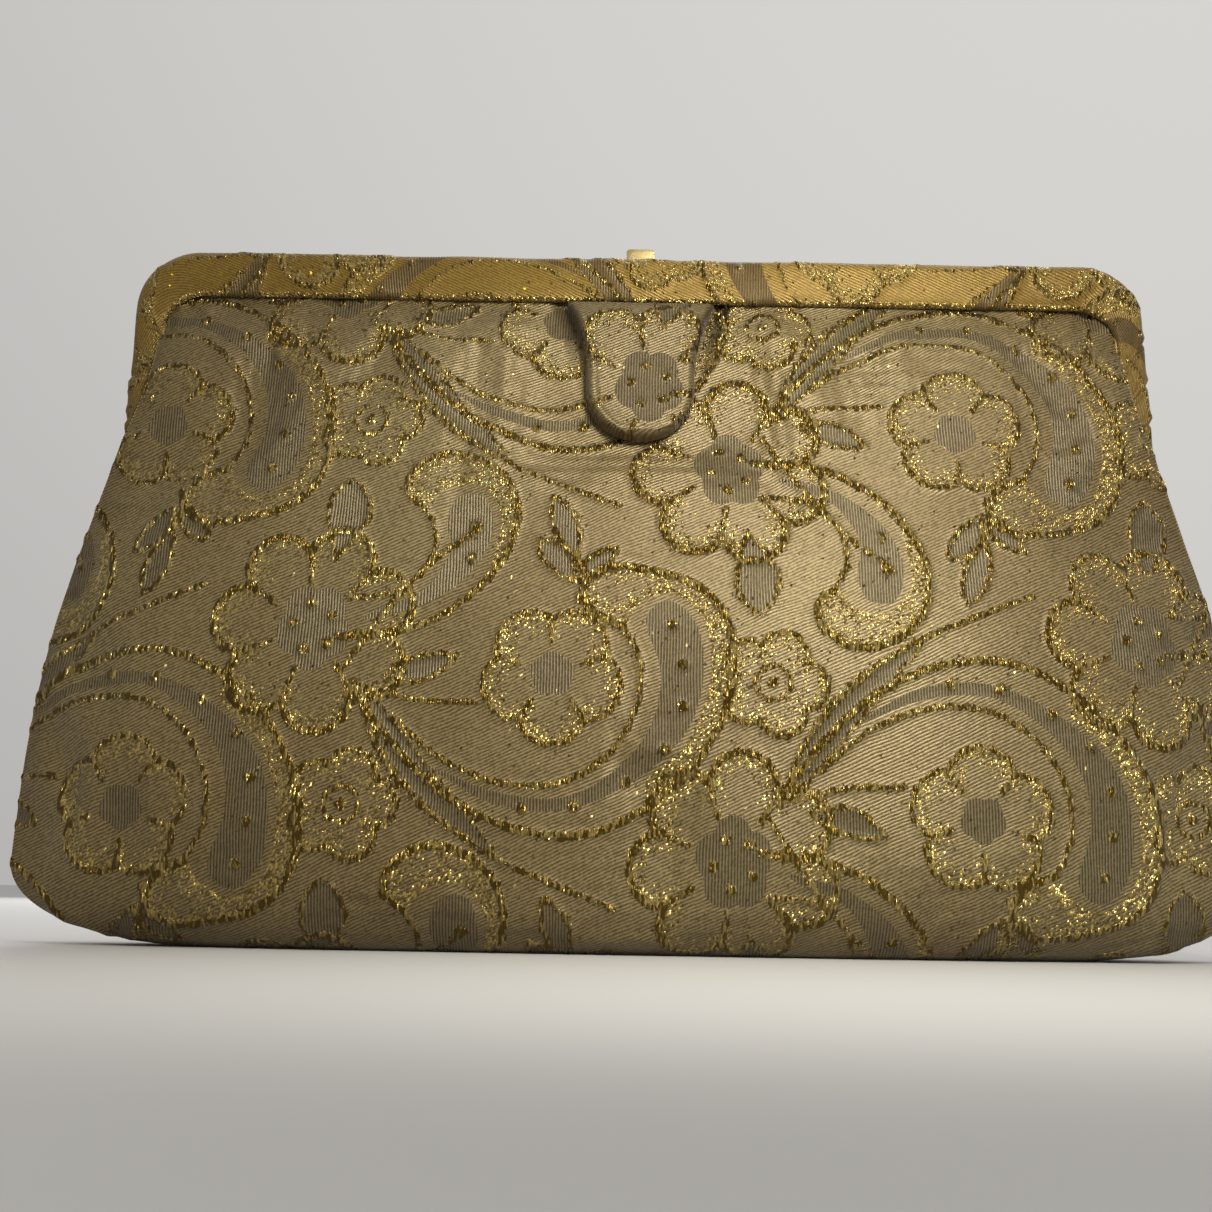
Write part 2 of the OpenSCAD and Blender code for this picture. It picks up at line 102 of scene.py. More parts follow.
class ClutchSizes(bpy.types.PropertyGroup):
    """Sizes of the soft parts, in metres."""

    cloth_t: length_property("Cloth thickness", "Brocade with its padding", 1.0)
    flat_half: length_property("Flat base, half width", "Where the bottom corners start", 85)
    corner_h: length_property("Bottom corner height", "Height at which the corners end", 16)
    roll_h: length_property("Bottom roll height", "Height of the roll along the base", 10)
    rail_h: length_property("Rim height", "Height of the covered top rail", 10.4)
    arm_w: length_property("Arm width", "Width of the covered side arms", 6.0)
    corner_r: length_property("Rim corner radius", "Outer radius of the rim's corners", 13)
    inner_r: length_property("Rim inner radius", "Radius of the rim's inner corners", 9)
    fold: length_property("Gusset fold", "Depth of the fold in each gusset", 12)
    cord_w: length_property("Outline width", "Width of the woven gold outlines", 1.10)
    repeat_w: length_property("Pattern width", "Width of one repeat of the brocade", 168)
    repeat_h: length_property("Pattern height", "Height of one repeat of the brocade", 81)


def colour_property(name, description, value):
    return bpy.props.FloatVectorProperty(
        name=name, description=description, default=value, subtype="COLOR", size=3, min=0, max=1
    )


class ClutchColours(bpy.types.PropertyGroup):
    """Colours of cloth, thread and metal."""

    ground: colour_property("Ground", "Satin ground of the bag", (0.312, 0.244, 0.116))
    ground_dark: colour_property("Ground shade", "Between the twill lines", (0.098, 0.068, 0.019))
    rib: colour_property("Ribbed fill", "Fine ribs inside leaves and curls", (0.225, 0.182, 0.092))
    rib_dark: colour_property("Ribbed shade", "Between the ribs", (0.052, 0.035, 0.009))
    gold: colour_property("Gold thread", "Bright side of the metal thread", (0.62, 0.475, 0.165))
    gold_dark: colour_property("Gold thread shade", "Dull side of the metal thread", (0.105, 0.066, 0.008))
    glint: colour_property("Glitter shade", "Dull side of the scattered thread", (0.225, 0.160, 0.048))
    rim: colour_property("Rim ground", "Old gold ground of the rim", (0.300, 0.195, 0.020))
    rim_dark: colour_property("Rim shade", "Between the rim's twill lines", (0.140, 0.080, 0.010))
    rim_rib: colour_property("Rim ribs", "Ribbed fill on the rim", (0.165, 0.110, 0.028))
    rim_rib_dark: colour_property("Rim rib shade", "Between the rim's ribs", (0.075, 0.045, 0.010))
    satin: colour_property("Lining", "Satin lining", (0.56, 0.42, 0.22))
    # Dark brown mixed into the cloth: painted shade in hollows, along rolled edges and under the rim's
    # edge, plus an even darkening of the tab and darkening towards the bottom and the arms' ends.
    shade_and_darkening: colour_property("Soiling", "Darkened cloth at worn edges and in hollows", (0.050, 0.030, 0.010))
    brass: colour_property("Brass", "Catch and rivets", (0.62, 0.49, 0.24))


def sizes():
    return bpy.context.scene.clutch_sizes


def colours():
    return bpy.context.scene.clutch_colours


# ---- The woven pattern -----------------------------------------------------------------------
# One motif group in a half repeat, in millimetres on the flat cloth. The other half repeat holds
# the same group turned upside down.


def smooth_curve(points, closed=False, step=0.35):
    """A Catmull-Rom curve through the points, sampled about every step."""
    p = np.array(points, float)
    if closed:
        p = np.vstack([p[-1], p, p[0], p[1]])
    else:
        p = np.vstack([2 * p[0] - p[1], p, 2 * p[-1] - p[-2]])
    out = []
    for a, b, c, d in zip(p[:-3], p[1:-2], p[2:-1], p[3:]):
        n = max(2, int(np.linalg.norm(c - b) / step))
        t = np.linspace(0, 1, n, endpoint=False)[:, None]
        out.append(0.5 * (2 * b + (c - a) * t + (2 * a - 5 * b + 4 * c - d) * t**2
                          + (3 * b - a - 3 * c + d) * t**3))
    if not closed:
        out.append(p[-2][None, :])
    return np.vstack(out)


def scalloped(centre, radius, lobes, depth, turn=0.0, power=0.5, squeeze=1.0):
    """A flower outline with round lobes."""
    a = np.linspace(0, 2 * math.pi, int(radius * 18), endpoint=False)
    lobe = np.abs(np.cos(lobes / 2 * (a - turn))) ** power
    r = radius * (1 - depth + depth * lobe)
    return np.stack([centre[0] + r * np.cos(a), centre[1] + squeeze * r * np.sin(a)], 1)


def leaf(base, tip, width, belly=0.6, bend=0.0):
    """A teardrop outline from base to tip; belly is where it is widest, bend its bow."""
    b, t = np.array(base, float), np.array(tip, float)
    axis = t - b
    length = np.linalg.norm(axis)
    axis /= length
    side = np.array([-axis[1], axis[0]])
    k = np.linspace(0, 1, 28)
    power = math.log(0.5) / math.log(belly)
    half = width / 2 * np.sin(math.pi * k**power) ** 0.8
    spine = b + np.outer(k * length, axis) + np.outer(bend * np.sin(math.pi * k), side)
    return np.vstack([spine + half[:, None] * side, (spine - half[:, None] * side)[::-1][1:-1]])


def open_circle(centre, radius):
    a = np.linspace(0, 2 * math.pi, 40, endpoint=False)
    return np.stack([centre[0] + radius * np.cos(a), centre[1] + radius * np.sin(a)], 1)


CURL_OUTER = [(29, 32), (37, 42), (47, 51), (60, 57), (74, 58), (87, 52), (97, 42), (102.5, 30),
              (102.5, 17), (97, 9), (88, 5.5), (78, 4.5), (73, 8.5), (75, 14), (81, 17)]
CURL_INNER = [(36, 36), (46, 44), (58, 48.5), (70, 48), (79, 42), (84, 33), (84.5, 24), (81, 17)]
CURL_BODY = [(43, 45), (56, 52.5), (70, 53.5), (83, 48), (93, 39), (97, 28), (96, 17), (90.5, 11.5),
             (85.5, 15.5), (88.5, 26), (87, 36), (81, 44.5), (70, 51), (56, 50)]
CURL_BAND = [(88, 51.5), (98, 41), (102.5, 30), (102.5, 17), (97, 9), (88, 5.5), (78, 4.5), (73, 8.5),
             (75, 14), (81, 17), (84, 12.5), (91, 10), (97.5, 16), (98.5, 28), (94, 40), (86, 47.5)]
CURL_DOTS = [(62, 53.4), (72, 52.7), (82, 48), (89.5, 41.5), (93, 33), (93, 24.5), (91, 16.5)]
HOOK_OUTER = [(24, 101), (34, 100), (44, 96.5), (53, 89), (58.5, 79), (58, 69), (52, 62.5), (44, 60.5),
              (37.5, 64), (36, 69.5), (40, 73)]
HOOK_INNER = [(26, 93), (35, 91.5), (41, 86), (42.5, 79), (40, 73)]
HOOK_BODY = [(29, 97.5), (41, 94), (50, 87), (54, 78), (52, 70.5), (46.5, 70.5), (44.5, 76), (45.5, 83),
             (40.5, 91), (32, 95)]
HOOK_BAND = [(54, 88), (58.5, 79), (58, 69), (52, 62.5), (44, 60.5), (37.5, 64), (36, 69.5), (40, 72.5),
             (44, 68.5), (51, 68), (55.5, 74), (55, 81)]
HOOK_DOTS = [(50, 84), (50.5, 77)]
FLOWER, ROSE, BUD = (103, 63), (67, 27), (111, 28)


LEAVES = [  # base, tip, width, belly and bow: by the curl's bulb, three on the sprig, two by the rose
    ((106, -4), (108.5, 14), 8.6, 0.62, -0.8), ((71, 89), (63.5, 79.5), 5, 0.55, 0.5),
    ((72.5, 89), (79.5, 81.5), 4, 0.5, -0.5), ((71.5, 84), (66.5, 70), 5, 0.55, 0.3),
    ((34, 28), (48, 23.5), 5, 0.5, 0.4), ((30, 31), (57, 62), 6.5, 0.45, 2.6)]
STEMS = [[(72, 93), (72.5, 89), (71.5, 84)], [(29, 30), (41, 32.5), (52, 33)],
         [(28, 29), (33, 41), (42, 52), (54, 61), (66, 66.5), (80, 72)],
         [(26, 26), (33, 15), (42, 4), (52, -4)]]


def spokes(centre, count, turn, start, end, steps):
    """Short lines between the petals of a flower."""
    for i in range(count):
        a = turn + math.pi / count + i * 2 * math.pi / count
        yield np.array(centre) + np.outer(np.linspace(start, end, steps), [math.cos(a), math.sin(a)])


def motif():
    """Bold and fine outlines, ribbed areas, metal-thread areas and dots of one motif group."""
    petals = scalloped(FLOWER, 20.5, 7, 0.30, 0.35, 0.55, 1.04)
    eye = scalloped(FLOWER, 7.6, 5, 0.22, 0.9, 0.7, 1.2)
    rose = scalloped(ROSE, 14, 5, 0.24, 0.3, 0.6)
    bud = scalloped(BUD, 10.8, 5, 0.30, 1.3, 0.6)
    leaves = [leaf(*shape) for shape in LEAVES]
    bold = [smooth_curve(CURL_OUTER), smooth_curve(HOOK_OUTER), petals]
    lines = [smooth_curve(CURL_INNER), smooth_curve(HOOK_INNER), *spokes(FLOWER, 7, 0.35, 9, 15.5, 20),
             rose, *spokes(ROSE, 5, 0.3, 6.5, 10.5, 12), bud, open_circle(BUD, 3.4), *leaves,
             *(smooth_curve(stem) for stem in STEMS)]
    ribs = [smooth_curve(CURL_BODY, True), smooth_curve(HOOK_BODY, True), eye,
            scalloped(ROSE, 4.6, 5, 0.2, 0.9), *leaves]
    glitter = [smooth_curve(CURL_BAND, True), smooth_curve(HOOK_BAND, True), petals, rose, bud]
    dots = CURL_DOTS + HOOK_DOTS
    for i in range(5):
        a = 0.5 + i * 2 * math.pi / 5
        dots.append((FLOWER[0] + 4.0 * math.cos(a), FLOWER[1] + 5.0 * math.sin(a)))
    dots.append(BUD)
    return bold, lines, ribs, glitter, dots


def inside(polygon, points):
    """Which of the points lie inside the polygon."""
    x, y = points[:, 0], points[:, 1]
    result = np.zeros(len(points), bool)
    for (x0, y0), (x1, y1) in zip(polygon, np.roll(polygon, -1, 0)):
        cross = (y0 > y) != (y1 > y)
        if cross.any():
            result[cross] ^= x[cross] < (x1 - x0) * (y[cross] - y0) / (y1 - y0) + x0
    return result


class Weave:
    """Distances to the woven outlines, ribbed areas and metal areas over one repeat."""

    FAR = 6.0
    CELL = 0.35
    DOT_R = 0.55
    BOLD = 0.22

    def __init__(self, width, height):
        self.width, self.height = width, height
        self.nx, self.ny = round(width / self.CELL), round(height / self.CELL)
        gx = (np.arange(self.nx) + 0.5) * width / self.nx
        gy = (np.arange(self.ny) + 0.5) * height / self.ny
        grid = np.stack(np.meshgrid(gx, gy), -1).reshape(-1, 2)
        bold, lines, ribs, glitter, dots = (self.copies(group) for group in motif())
        dot = self.distance(grid, dots) - self.DOT_R
        thick = self.distance(grid, bold) - self.BOLD
        self.cord = np.maximum(np.minimum(np.minimum(self.distance(grid, lines), thick), dot), 0)
        self.rib = self.signed(grid, ribs)
        self.glitter = self.signed(grid, glitter)
        shape = (self.ny, self.nx)
        self.fields = [f.reshape(shape) for f in (self.cord, self.rib, self.glitter)]

    def copies(self, group):
        """The group in every repeat that reaches into this one, upright and upside down."""
        out = []
        for shape in group:
            shape = np.atleast_2d(np.array(shape, float))
            turned = np.stack([shape[:, 0] - self.width / 2, self.height - shape[:, 1]], 1)
            for base in (shape, turned):
                for i in range(-2, 3):
                    for j in range(-2, 3):
                        moved = base + (i * self.width, j * self.height)
                        low, high = moved.min(0), moved.max(0)
                        if (low < (self.width + self.FAR, self.height + self.FAR)).all() and (
                                high > -self.FAR).all():
                            out.append(moved)
        return out

    def distance(self, grid, shapes):
        points = np.vstack(shapes)
        tree = kdtree.KDTree(len(points))
        for i, (x, y) in enumerate(points):
            tree.insert((x, y, 0), i)
        tree.balance()
        find = tree.find
        return np.array([min(find((x, y, 0))[2], self.FAR) for x, y in grid])

    def signed(self, grid, shapes):
        """Distance to the nearest edge, below zero inside."""
        dense = []
        for shape in shapes:
            ring = np.vstack([shape, shape[:1]])
            for a, b in zip(ring[:-1], ring[1:]):
                n = max(1, int(np.linalg.norm(b - a) / 0.3))
                dense.append(a + np.outer(np.arange(n) / n, b - a))
        dist = self.distance(grid, dense)
        within = np.zeros(len(grid), bool)
        for shape in shapes:
            low, high = shape.min(0), shape.max(0)
            near = np.flatnonzero(((grid >= low) & (grid <= high)).all(1))
            if len(near):
                within[near] |= inside(shape, grid[near])
        return np.where(within, -dist, dist)

    def sample(self, u, v):
        """The three fields at flat cloth positions, in millimetres."""
        fx = (np.mod(u, self.width) / self.width) * self.nx - 0.5
        fy = (np.mod(v, self.height) / self.height) * self.ny - 0.5
        x0, y0 = np.floor(fx).astype(int), np.floor(fy).astype(int)
        tx, ty = fx - x0, fy - y0
        result = []
        for f in self.fields:
            a = f[y0 % self.ny, x0 % self.nx]
            b = f[y0 % self.ny, (x0 + 1) % self.nx]
            c = f[(y0 + 1) % self.ny, x0 % self.nx]
            d = f[(y0 + 1) % self.ny, (x0 + 1) % self.nx]
            result.append((a * (1 - tx) + b * tx) * (1 - ty) + (c * (1 - tx) + d * tx) * ty)
        return result


_weave = {}


def weave():
    """The pattern, worked out once."""
    if not _weave:
        s = sizes()
        _weave["it"] = Weave(s.repeat_w / MM, s.repeat_h / MM)
    return _weave["it"]


def relief(cord, rib, glitter, cord_w):
    """How far the threads stand out of the cloth, in millimetres."""
    half = cord_w / 2
    ridge = 0.34 * np.clip(1 - (cord / (half + 0.25)) ** 2, 0, 1)
    raised = 0.10 * np.clip(-glitter / 0.8, 0, 1)
    sunk = -0.06 * np.clip(-rib / 0.8, 0, 1)
    return ridge + np.where(cord < half, 0, raised + sunk)


def threads(u, v):
    """How far the threads stand out at flat cloth positions, shaped as they are."""
    return relief(*weave().sample(u, v), sizes().cord_w / MM)


# ---- The bag's shape -------------------------------------------------------------------------


def eased(z, points):
    """Values between control points (height, value), without sharp corners."""
    zs, vs = np.array(points, float).T
    z = np.asarray(z, float)
    total = np.zeros_like(z)
    spread = np.array([-2.4, -1.2, 0, 1.2, 2.4])
    for d, weight in zip(spread, (0.1, 0.2, 0.4, 0.2, 0.1)):
        total += weight * np.interp(z + d, zs, vs)
    return total


class BagShape:
    """Where the cloth lies. s runs from -1 to 1 across; p from 0 at the middle of the base to 3 at
    the top: the base up to 1, the bottom roll up to 2, then the wall. All in millimetres."""

    def __init__(self):
        s = sizes()
        self.half_w = BAG_HIGH[0]
        self.belly = BAG_HIGH[1]
        self.top = BAG_HIGH[2]
        self.flat = s.flat_half / MM
        self.corner = s.corner_h / MM
        self.roll = s.roll_h / MM
        self.base = 9.0
        rim_x = RIM_HIGH[0]
        self.wide_z = self.corner + 11
        self.upper_width = [
            (HINGE_Z - 2, rim_x + 0.2), (HINGE_Z + 1, rim_x - 0.2), (HINGE_Z + 6, rim_x - 1.9),
            (HINGE_Z + 12, rim_x - 3.8), (HINGE_Z + 20, rim_x - 5.1), (HINGE_Z + 27, rim_x - 5.4),
            (HINGE_Z + 31, rim_x - 4.2), (HINGE_Z + 34, rim_x - 4.0), (self.top, rim_x - 4.0)]
        self.edge_depth = [
            (-20, 8.2), (60, 7.7), (86, 6.6), (HINGE_Z - 7, 7.2), (HINGE_Z, 8.9), (HINGE_Z + 14, 9.0),
            (HINGE_Z + 22, 8.4), (HINGE_Z + 28, 6.2), (HINGE_Z + 33, 5.7), (self.top + 9, 5.6)]
        self.middle_depth = [
            (HINGE_Z - 6, 11.8), (HINGE_Z, 10.9), (HINGE_Z + 14, 9.4), (HINGE_Z + 24, 7.9),
            (HINGE_Z + 30, 6.9),
            (HINGE_Z + 36.4, 5.8), (self.top + 9, 5.6)]

    def width(self, z, off=0.0):
        z = np.asarray(z, float)
        reach = self.half_w - off
        corner = self.flat + (reach - self.flat) * np.sqrt(
            np.clip(1 - ((self.corner - z) / (self.corner - off)) ** 2, 0, 1))
        flare = (self.half_w - RIM_HIGH[0] - 0.4) * (
            np.clip(z - self.wide_z, 0, None) / (HINGE_Z - self.wide_z)) ** 2
        low = np.where(z < self.corner, corner, reach - flare)
        high = eased(z, self.upper_width) - off
        tuck = np.clip(z - (self.top - 8), 0, 8)
        high = high - 8 + np.sqrt(64 - tuck**2)
        return np.where(z < HINGE_Z - 4, low, np.where(z > HINGE_Z, high,
                        low + (high - low) * (z - HINGE_Z + 4) / 4))

    def middle(self, z):
        z = np.asarray(z, float)
        low = self.belly - (self.belly - 10.93) * ((z - 30) / (HINGE_Z - 30)) ** 2
        return np.where(z < HINGE_Z, low, eased(z, self.middle_depth))

    def depth(self, s, z):
        """Half depth of the bag; the cloth swells a little under the rim, clear of the tab."""
        edge, mid = eased(z, self.edge_depth), self.middle(z)
        x = np.abs(s) * self.half_w
        beside_tab = np.clip((x - 19) / 16, 0, 1) * np.clip((1 - np.abs(s)) * 9, 0, 1)
        swell = 1.3 * beside_tab * np.exp(-((z - HINGE_Z - 27) / 6.0) ** 2)
        return edge + (mid - edge) * (1 - np.abs(s) ** 4) + swell

    def base_depth(self, s):
        return self.base * (1 - 0.5 * np.abs(s) ** 4)

    def point(self, s, p, off=0.0):
        """x, half depth and z on the cloth, off inside its outer face."""
        s, p = np.broadcast_arrays(np.asarray(s, float), np.asarray(p, float))
        turn = np.clip(p - 1, 0, 1) * math.pi / 2
        z = np.where(p < 1, off, np.where(p < 2, self.roll - (self.roll - off) * np.cos(turn),
                     self.roll + np.clip(p - 2, 0, 1) * (self.top - self.roll)))
        wall = self.depth(s, z) - off
        at_roll = self.depth(s, np.full_like(z, self.roll)) - off
        base = self.base_depth(s)
        y = np.where(p < 1, base * p, np.where(p < 2, base + (at_roll - base) * np.sin(turn), wall))
        return s * self.width(z, off), y, z

    def p_at(self, z):
        return 2 + (z - self.roll) / (self.top - self.roll)

    def rows(self, count, start=0.0, end=3.0):
        """Values of p spaced evenly along the middle of the cloth, and their flat heights."""
        p = np.linspace(0, 3, 1201)
        _, y, z = self.point(0.0, p)
        along = np.concatenate([[0], np.cumsum(np.hypot(np.diff(y), np.diff(z)))])
        low, high = np.interp([start, end], p, along)
        p_rows = np.interp(np.linspace(low, high, count), along, p)
        roll_at = np.interp(2.0, p, along)
        flat = np.where(p_rows < 2, self.roll + np.interp(p_rows, p, along) - roll_at,
                        self.roll + (p_rows - 2) * (self.top - self.roll))
        return p_rows, flat


def across(count, limit=1.0):
    """Positions across the bag, a little closer together near the sides."""
    k = np.linspace(-1, 1, count)
    return limit * (0.82 * k + 0.18 * np.sin(k * math.pi / 2))


# ---- Meshes ----------------------------------------------------------------------------------


def mesh_object(name, points_mm, faces):
    """A mesh piece with its place in its vertices."""
    data = bpy.data.meshes.new(name)
    data.from_pydata([tuple(p) for p in np.asarray(points_mm) * MM], [], faces)
    data.validate()
    piece = bpy.data.objects.new(name, data)
    bpy.context.scene.collection.objects.link(piece)
    return piece


def grid_faces(rows, cols, flip=False, first=0):
    i = np.arange((rows - 1) * cols).reshape(rows - 1, cols)[:, :-1].ravel() + first
    quads = np.stack([i, i + 1, i + cols + 1, i + cols], 1)
    return (quads[:, ::-1] if flip else quads).tolist()


def point_attribute(piece, name, values):
    attribute = piece.data.attributes.new(name, "FLOAT_VECTOR", "POINT")
    attribute.data.foreach_set("vector", np.asarray(values, np.float32).ravel())


def cloth_uv(piece, u, v):
    """Flat cloth positions in millimetres, as the piece's own UV map."""
    layer = piece.data.uv_layers.new(name="cloth")
    index = np.zeros(len(piece.data.loops), int)
    piece.data.loops.foreach_get("vertex_index", index)
    layer.data.foreach_set("uv", np.stack([u[index], v[index]], 1).astype(np.float32).ravel())


def weave_cloth(piece, u, v, shade_and_darkening=None):
    """Stores the pattern on a piece: its UV map, its distances, and how much painted shade and darkening
    each point gets.
    """
    cord, rib, glitter = weave().sample(u, v)
    cloth_uv(piece, u, v)
    point_attribute(piece, "weave", np.stack([cord, rib, glitter], 1))
    if shade_and_darkening is not None:
        store_shade_and_darkening(piece, shade_and_darkening)


def store_shade_and_darkening(piece, amount):
    # How much painted shade and darkening each point gets.
    attribute = piece.data.attributes.new("shade_and_darkening", "FLOAT", "POINT")
    attribute.data.foreach_set("value", np.clip(amount, 0, 1).astype(np.float32).ravel())


TAB_FOOT_HALF = 11.8  # half width of the tab's round foot
TAB_ROLL = 3.2


def tab_length():
    """Length of the padded tab: its stiff core and the soft roll at its foot, in millimetres."""
    low, high = box_mm("tab_front_cover")
    return high[2] - low[2] + TAB_ROLL


def tab_half_width(down):
    """Half width of the tab's outline at a distance below its top, in millimetres."""
    _, high = box_mm("tab_front_cover")
    length, foot = tab_length(), TAB_FOOT_HALF
    flare = foot + (high[0] - foot) * np.clip(1 - down / (length - foot - 1), 0, 1) ** 2.2
    round_foot = np.sqrt(np.clip(foot**2 - (down - length + foot) ** 2, 0.01, None))
    return np.where(down > length - foot, round_foot, flare)


def grid_normals(points):
    """Unit normals of a grid of points, shaped rows by columns."""
    d_row = np.gradient(points, axis=0)
    d_col = np.gradient(points, axis=1)
    n = np.cross(d_col, d_row)
    return n / np.maximum(np.linalg.norm(n, axis=2, keepdims=True), 1e-9)


def smooth(piece):
    piece.data.polygons.foreach_set("use_smooth", [True] * len(piece.data.polygons))
    piece.data.update()


def select_only(piece):
    bpy.ops.object.select_all(action="DESELECT")
    piece.select_set(True)
    bpy.context.view_layer.objects.active = piece


def apply_modifier(piece, kind, **settings):
    select_only(piece)
    modifier = piece.modifiers.new(kind.title(), kind)
    for key, value in settings.items():
        setattr(modifier, key, value)
    bpy.ops.object.modifier_apply(modifier=modifier.name)


def low_noise(points_mm, scale, seed):
    """Soft noise between about -1 and 1 at each point."""
    offset = Vector((seed * 7.3, seed * 3.1, seed * 5.7))
    flat = np.asarray(points_mm).reshape(-1, 3)
    return np.array([noise.noise(Vector(p) / scale + offset) for p in flat])


def crease(x, z, start, end, width, depth):
    """Depth of a fold line pressed into the cloth between two points seen from the front."""
    a, b = np.array(start, float), np.array(end, float)
    d = b - a
    t = np.clip(((x - a[0]) * d[0] + (z - a[1]) * d[1]) / (d @ d), 0, 1)
    off = np.hypot(x - a[0] - t * d[0], z - a[1] - t * d[1])
    return depth * np.exp(-((off / width) ** 2)) * np.sqrt(1 - 0.85 * t)


# ---- Cloth simulation ------------------------------------------------------------------------

DRAPE_COLS, DRAPE_ROWS = 81, 53
DRAPE_FRAMES = 20
DRAPE_CAP = 2.6
DRAPE_SINK = 0.05
DRAPE_RUFFLE = 0.25  # the small unevenness it starts from


def drape(shape, front, seed):
    """How a padded, slightly loose cloth settles when its edges are held: moves in millimetres on a
    coarse grid of the same cloth."""
    s = across(DRAPE_COLS)
    p_rows, _ = shape.rows(DRAPE_ROWS)
    x, y, z = shape.point(s[None, :], p_rows[:, None])
    side = -1 if front else 1
    points = np.stack([x, side * y, z], 2)
    flat = points.reshape(-1, 3)
    cloth = mesh_object("drape_trial", flat, grid_faces(DRAPE_ROWS, DRAPE_COLS, not front))
    ruffle = DRAPE_RUFFLE * low_noise(flat, 14.0, seed)
    cloth.data.vertices.foreach_set("co", ((flat + ruffle[:, None] * (0, side, 0)) * MM).ravel())
    held = np.zeros((DRAPE_ROWS, DRAPE_COLS), bool)
    held[:, :1] = held[:, -1:] = True
    held |= (z > HINGE_Z + 33) | (z < 2.5)
    group = cloth.vertex_groups.new(name="held")
    group.add(np.flatnonzero(held.ravel()).tolist(), 1.0, "REPLACE")
    modifier = cloth.modifiers.new("Cloth", "CLOTH")
    settings = modifier.settings
    settings.quality = 7
    settings.mass = 0.25
    settings.tension_stiffness = settings.compression_stiffness = 18
    settings.shear_stiffness = 9
    settings.bending_stiffness = 1.2
    settings.vertex_group_mass = "held"
    settings.use_pressure = True
    settings.uniform_pressure_force = PAD_PRESSURE
    settings.shrink_min = -PAD_SLACK
    settings.effector_weights.gravity = 0
    settings.air_damping = 4
    scene = bpy.context.scene
    for number in range(1, DRAPE_FRAMES + 1):
        scene.frame_set(number)
    settled = cloth.evaluated_get(bpy.context.evaluated_depsgraph_get()).to_mesh()
    co = np.zeros(len(settled.vertices) * 3)
    settled.vertices.foreach_get("co", co)
    move = co.reshape(points.shape) / MM - points
    length = np.linalg.norm(move, axis=2, keepdims=True)
    move *= np.minimum(1, DRAPE_CAP / np.maximum(length, 1e-6))
    normals = grid_normals(points) * (1 if front else -1)
    inward = np.minimum((move * normals).sum(2, keepdims=True) + DRAPE_SINK, 0)
    move -= inward * normals
    if front:
        beside = np.clip((np.abs(x) - 17) / 14, 0, 1)[..., None]
        below = np.clip((HINGE_Z + 2 - z) / 12, 0, 1)[..., None]
        keep = np.maximum(beside, below)
        move *= keep * keep * (3 - 2 * keep)
    scene.frame_set(1)
    bpy.data.objects.remove(cloth)
    return move


def spread(move, rows, cols):
    """The coarse moves at a finer grid."""
    r = np.linspace(0, DRAPE_ROWS - 1, rows)
    c = np.linspace(0, DRAPE_COLS - 1, cols)
    r0, c0 = np.minimum(r.astype(int), DRAPE_ROWS - 2), np.minimum(c.astype(int), DRAPE_COLS - 2)
    tr, tc = (r - r0)[:, None, None], (c - c0)[None, :, None]
    tr, tc = tr * tr * (3 - 2 * tr), tc * tc * (3 - 2 * tc)
    a, b = move[r0][:, c0], move[r0][:, c0 + 1]
    d, e = move[r0 + 1][:, c0], move[r0 + 1][:, c0 + 1]
    return (a * (1 - tc) + b * tc) * (1 - tr) + (d * (1 - tc) + e * tc) * tr


# ---- Materials -------------------------------------------------------------------------------


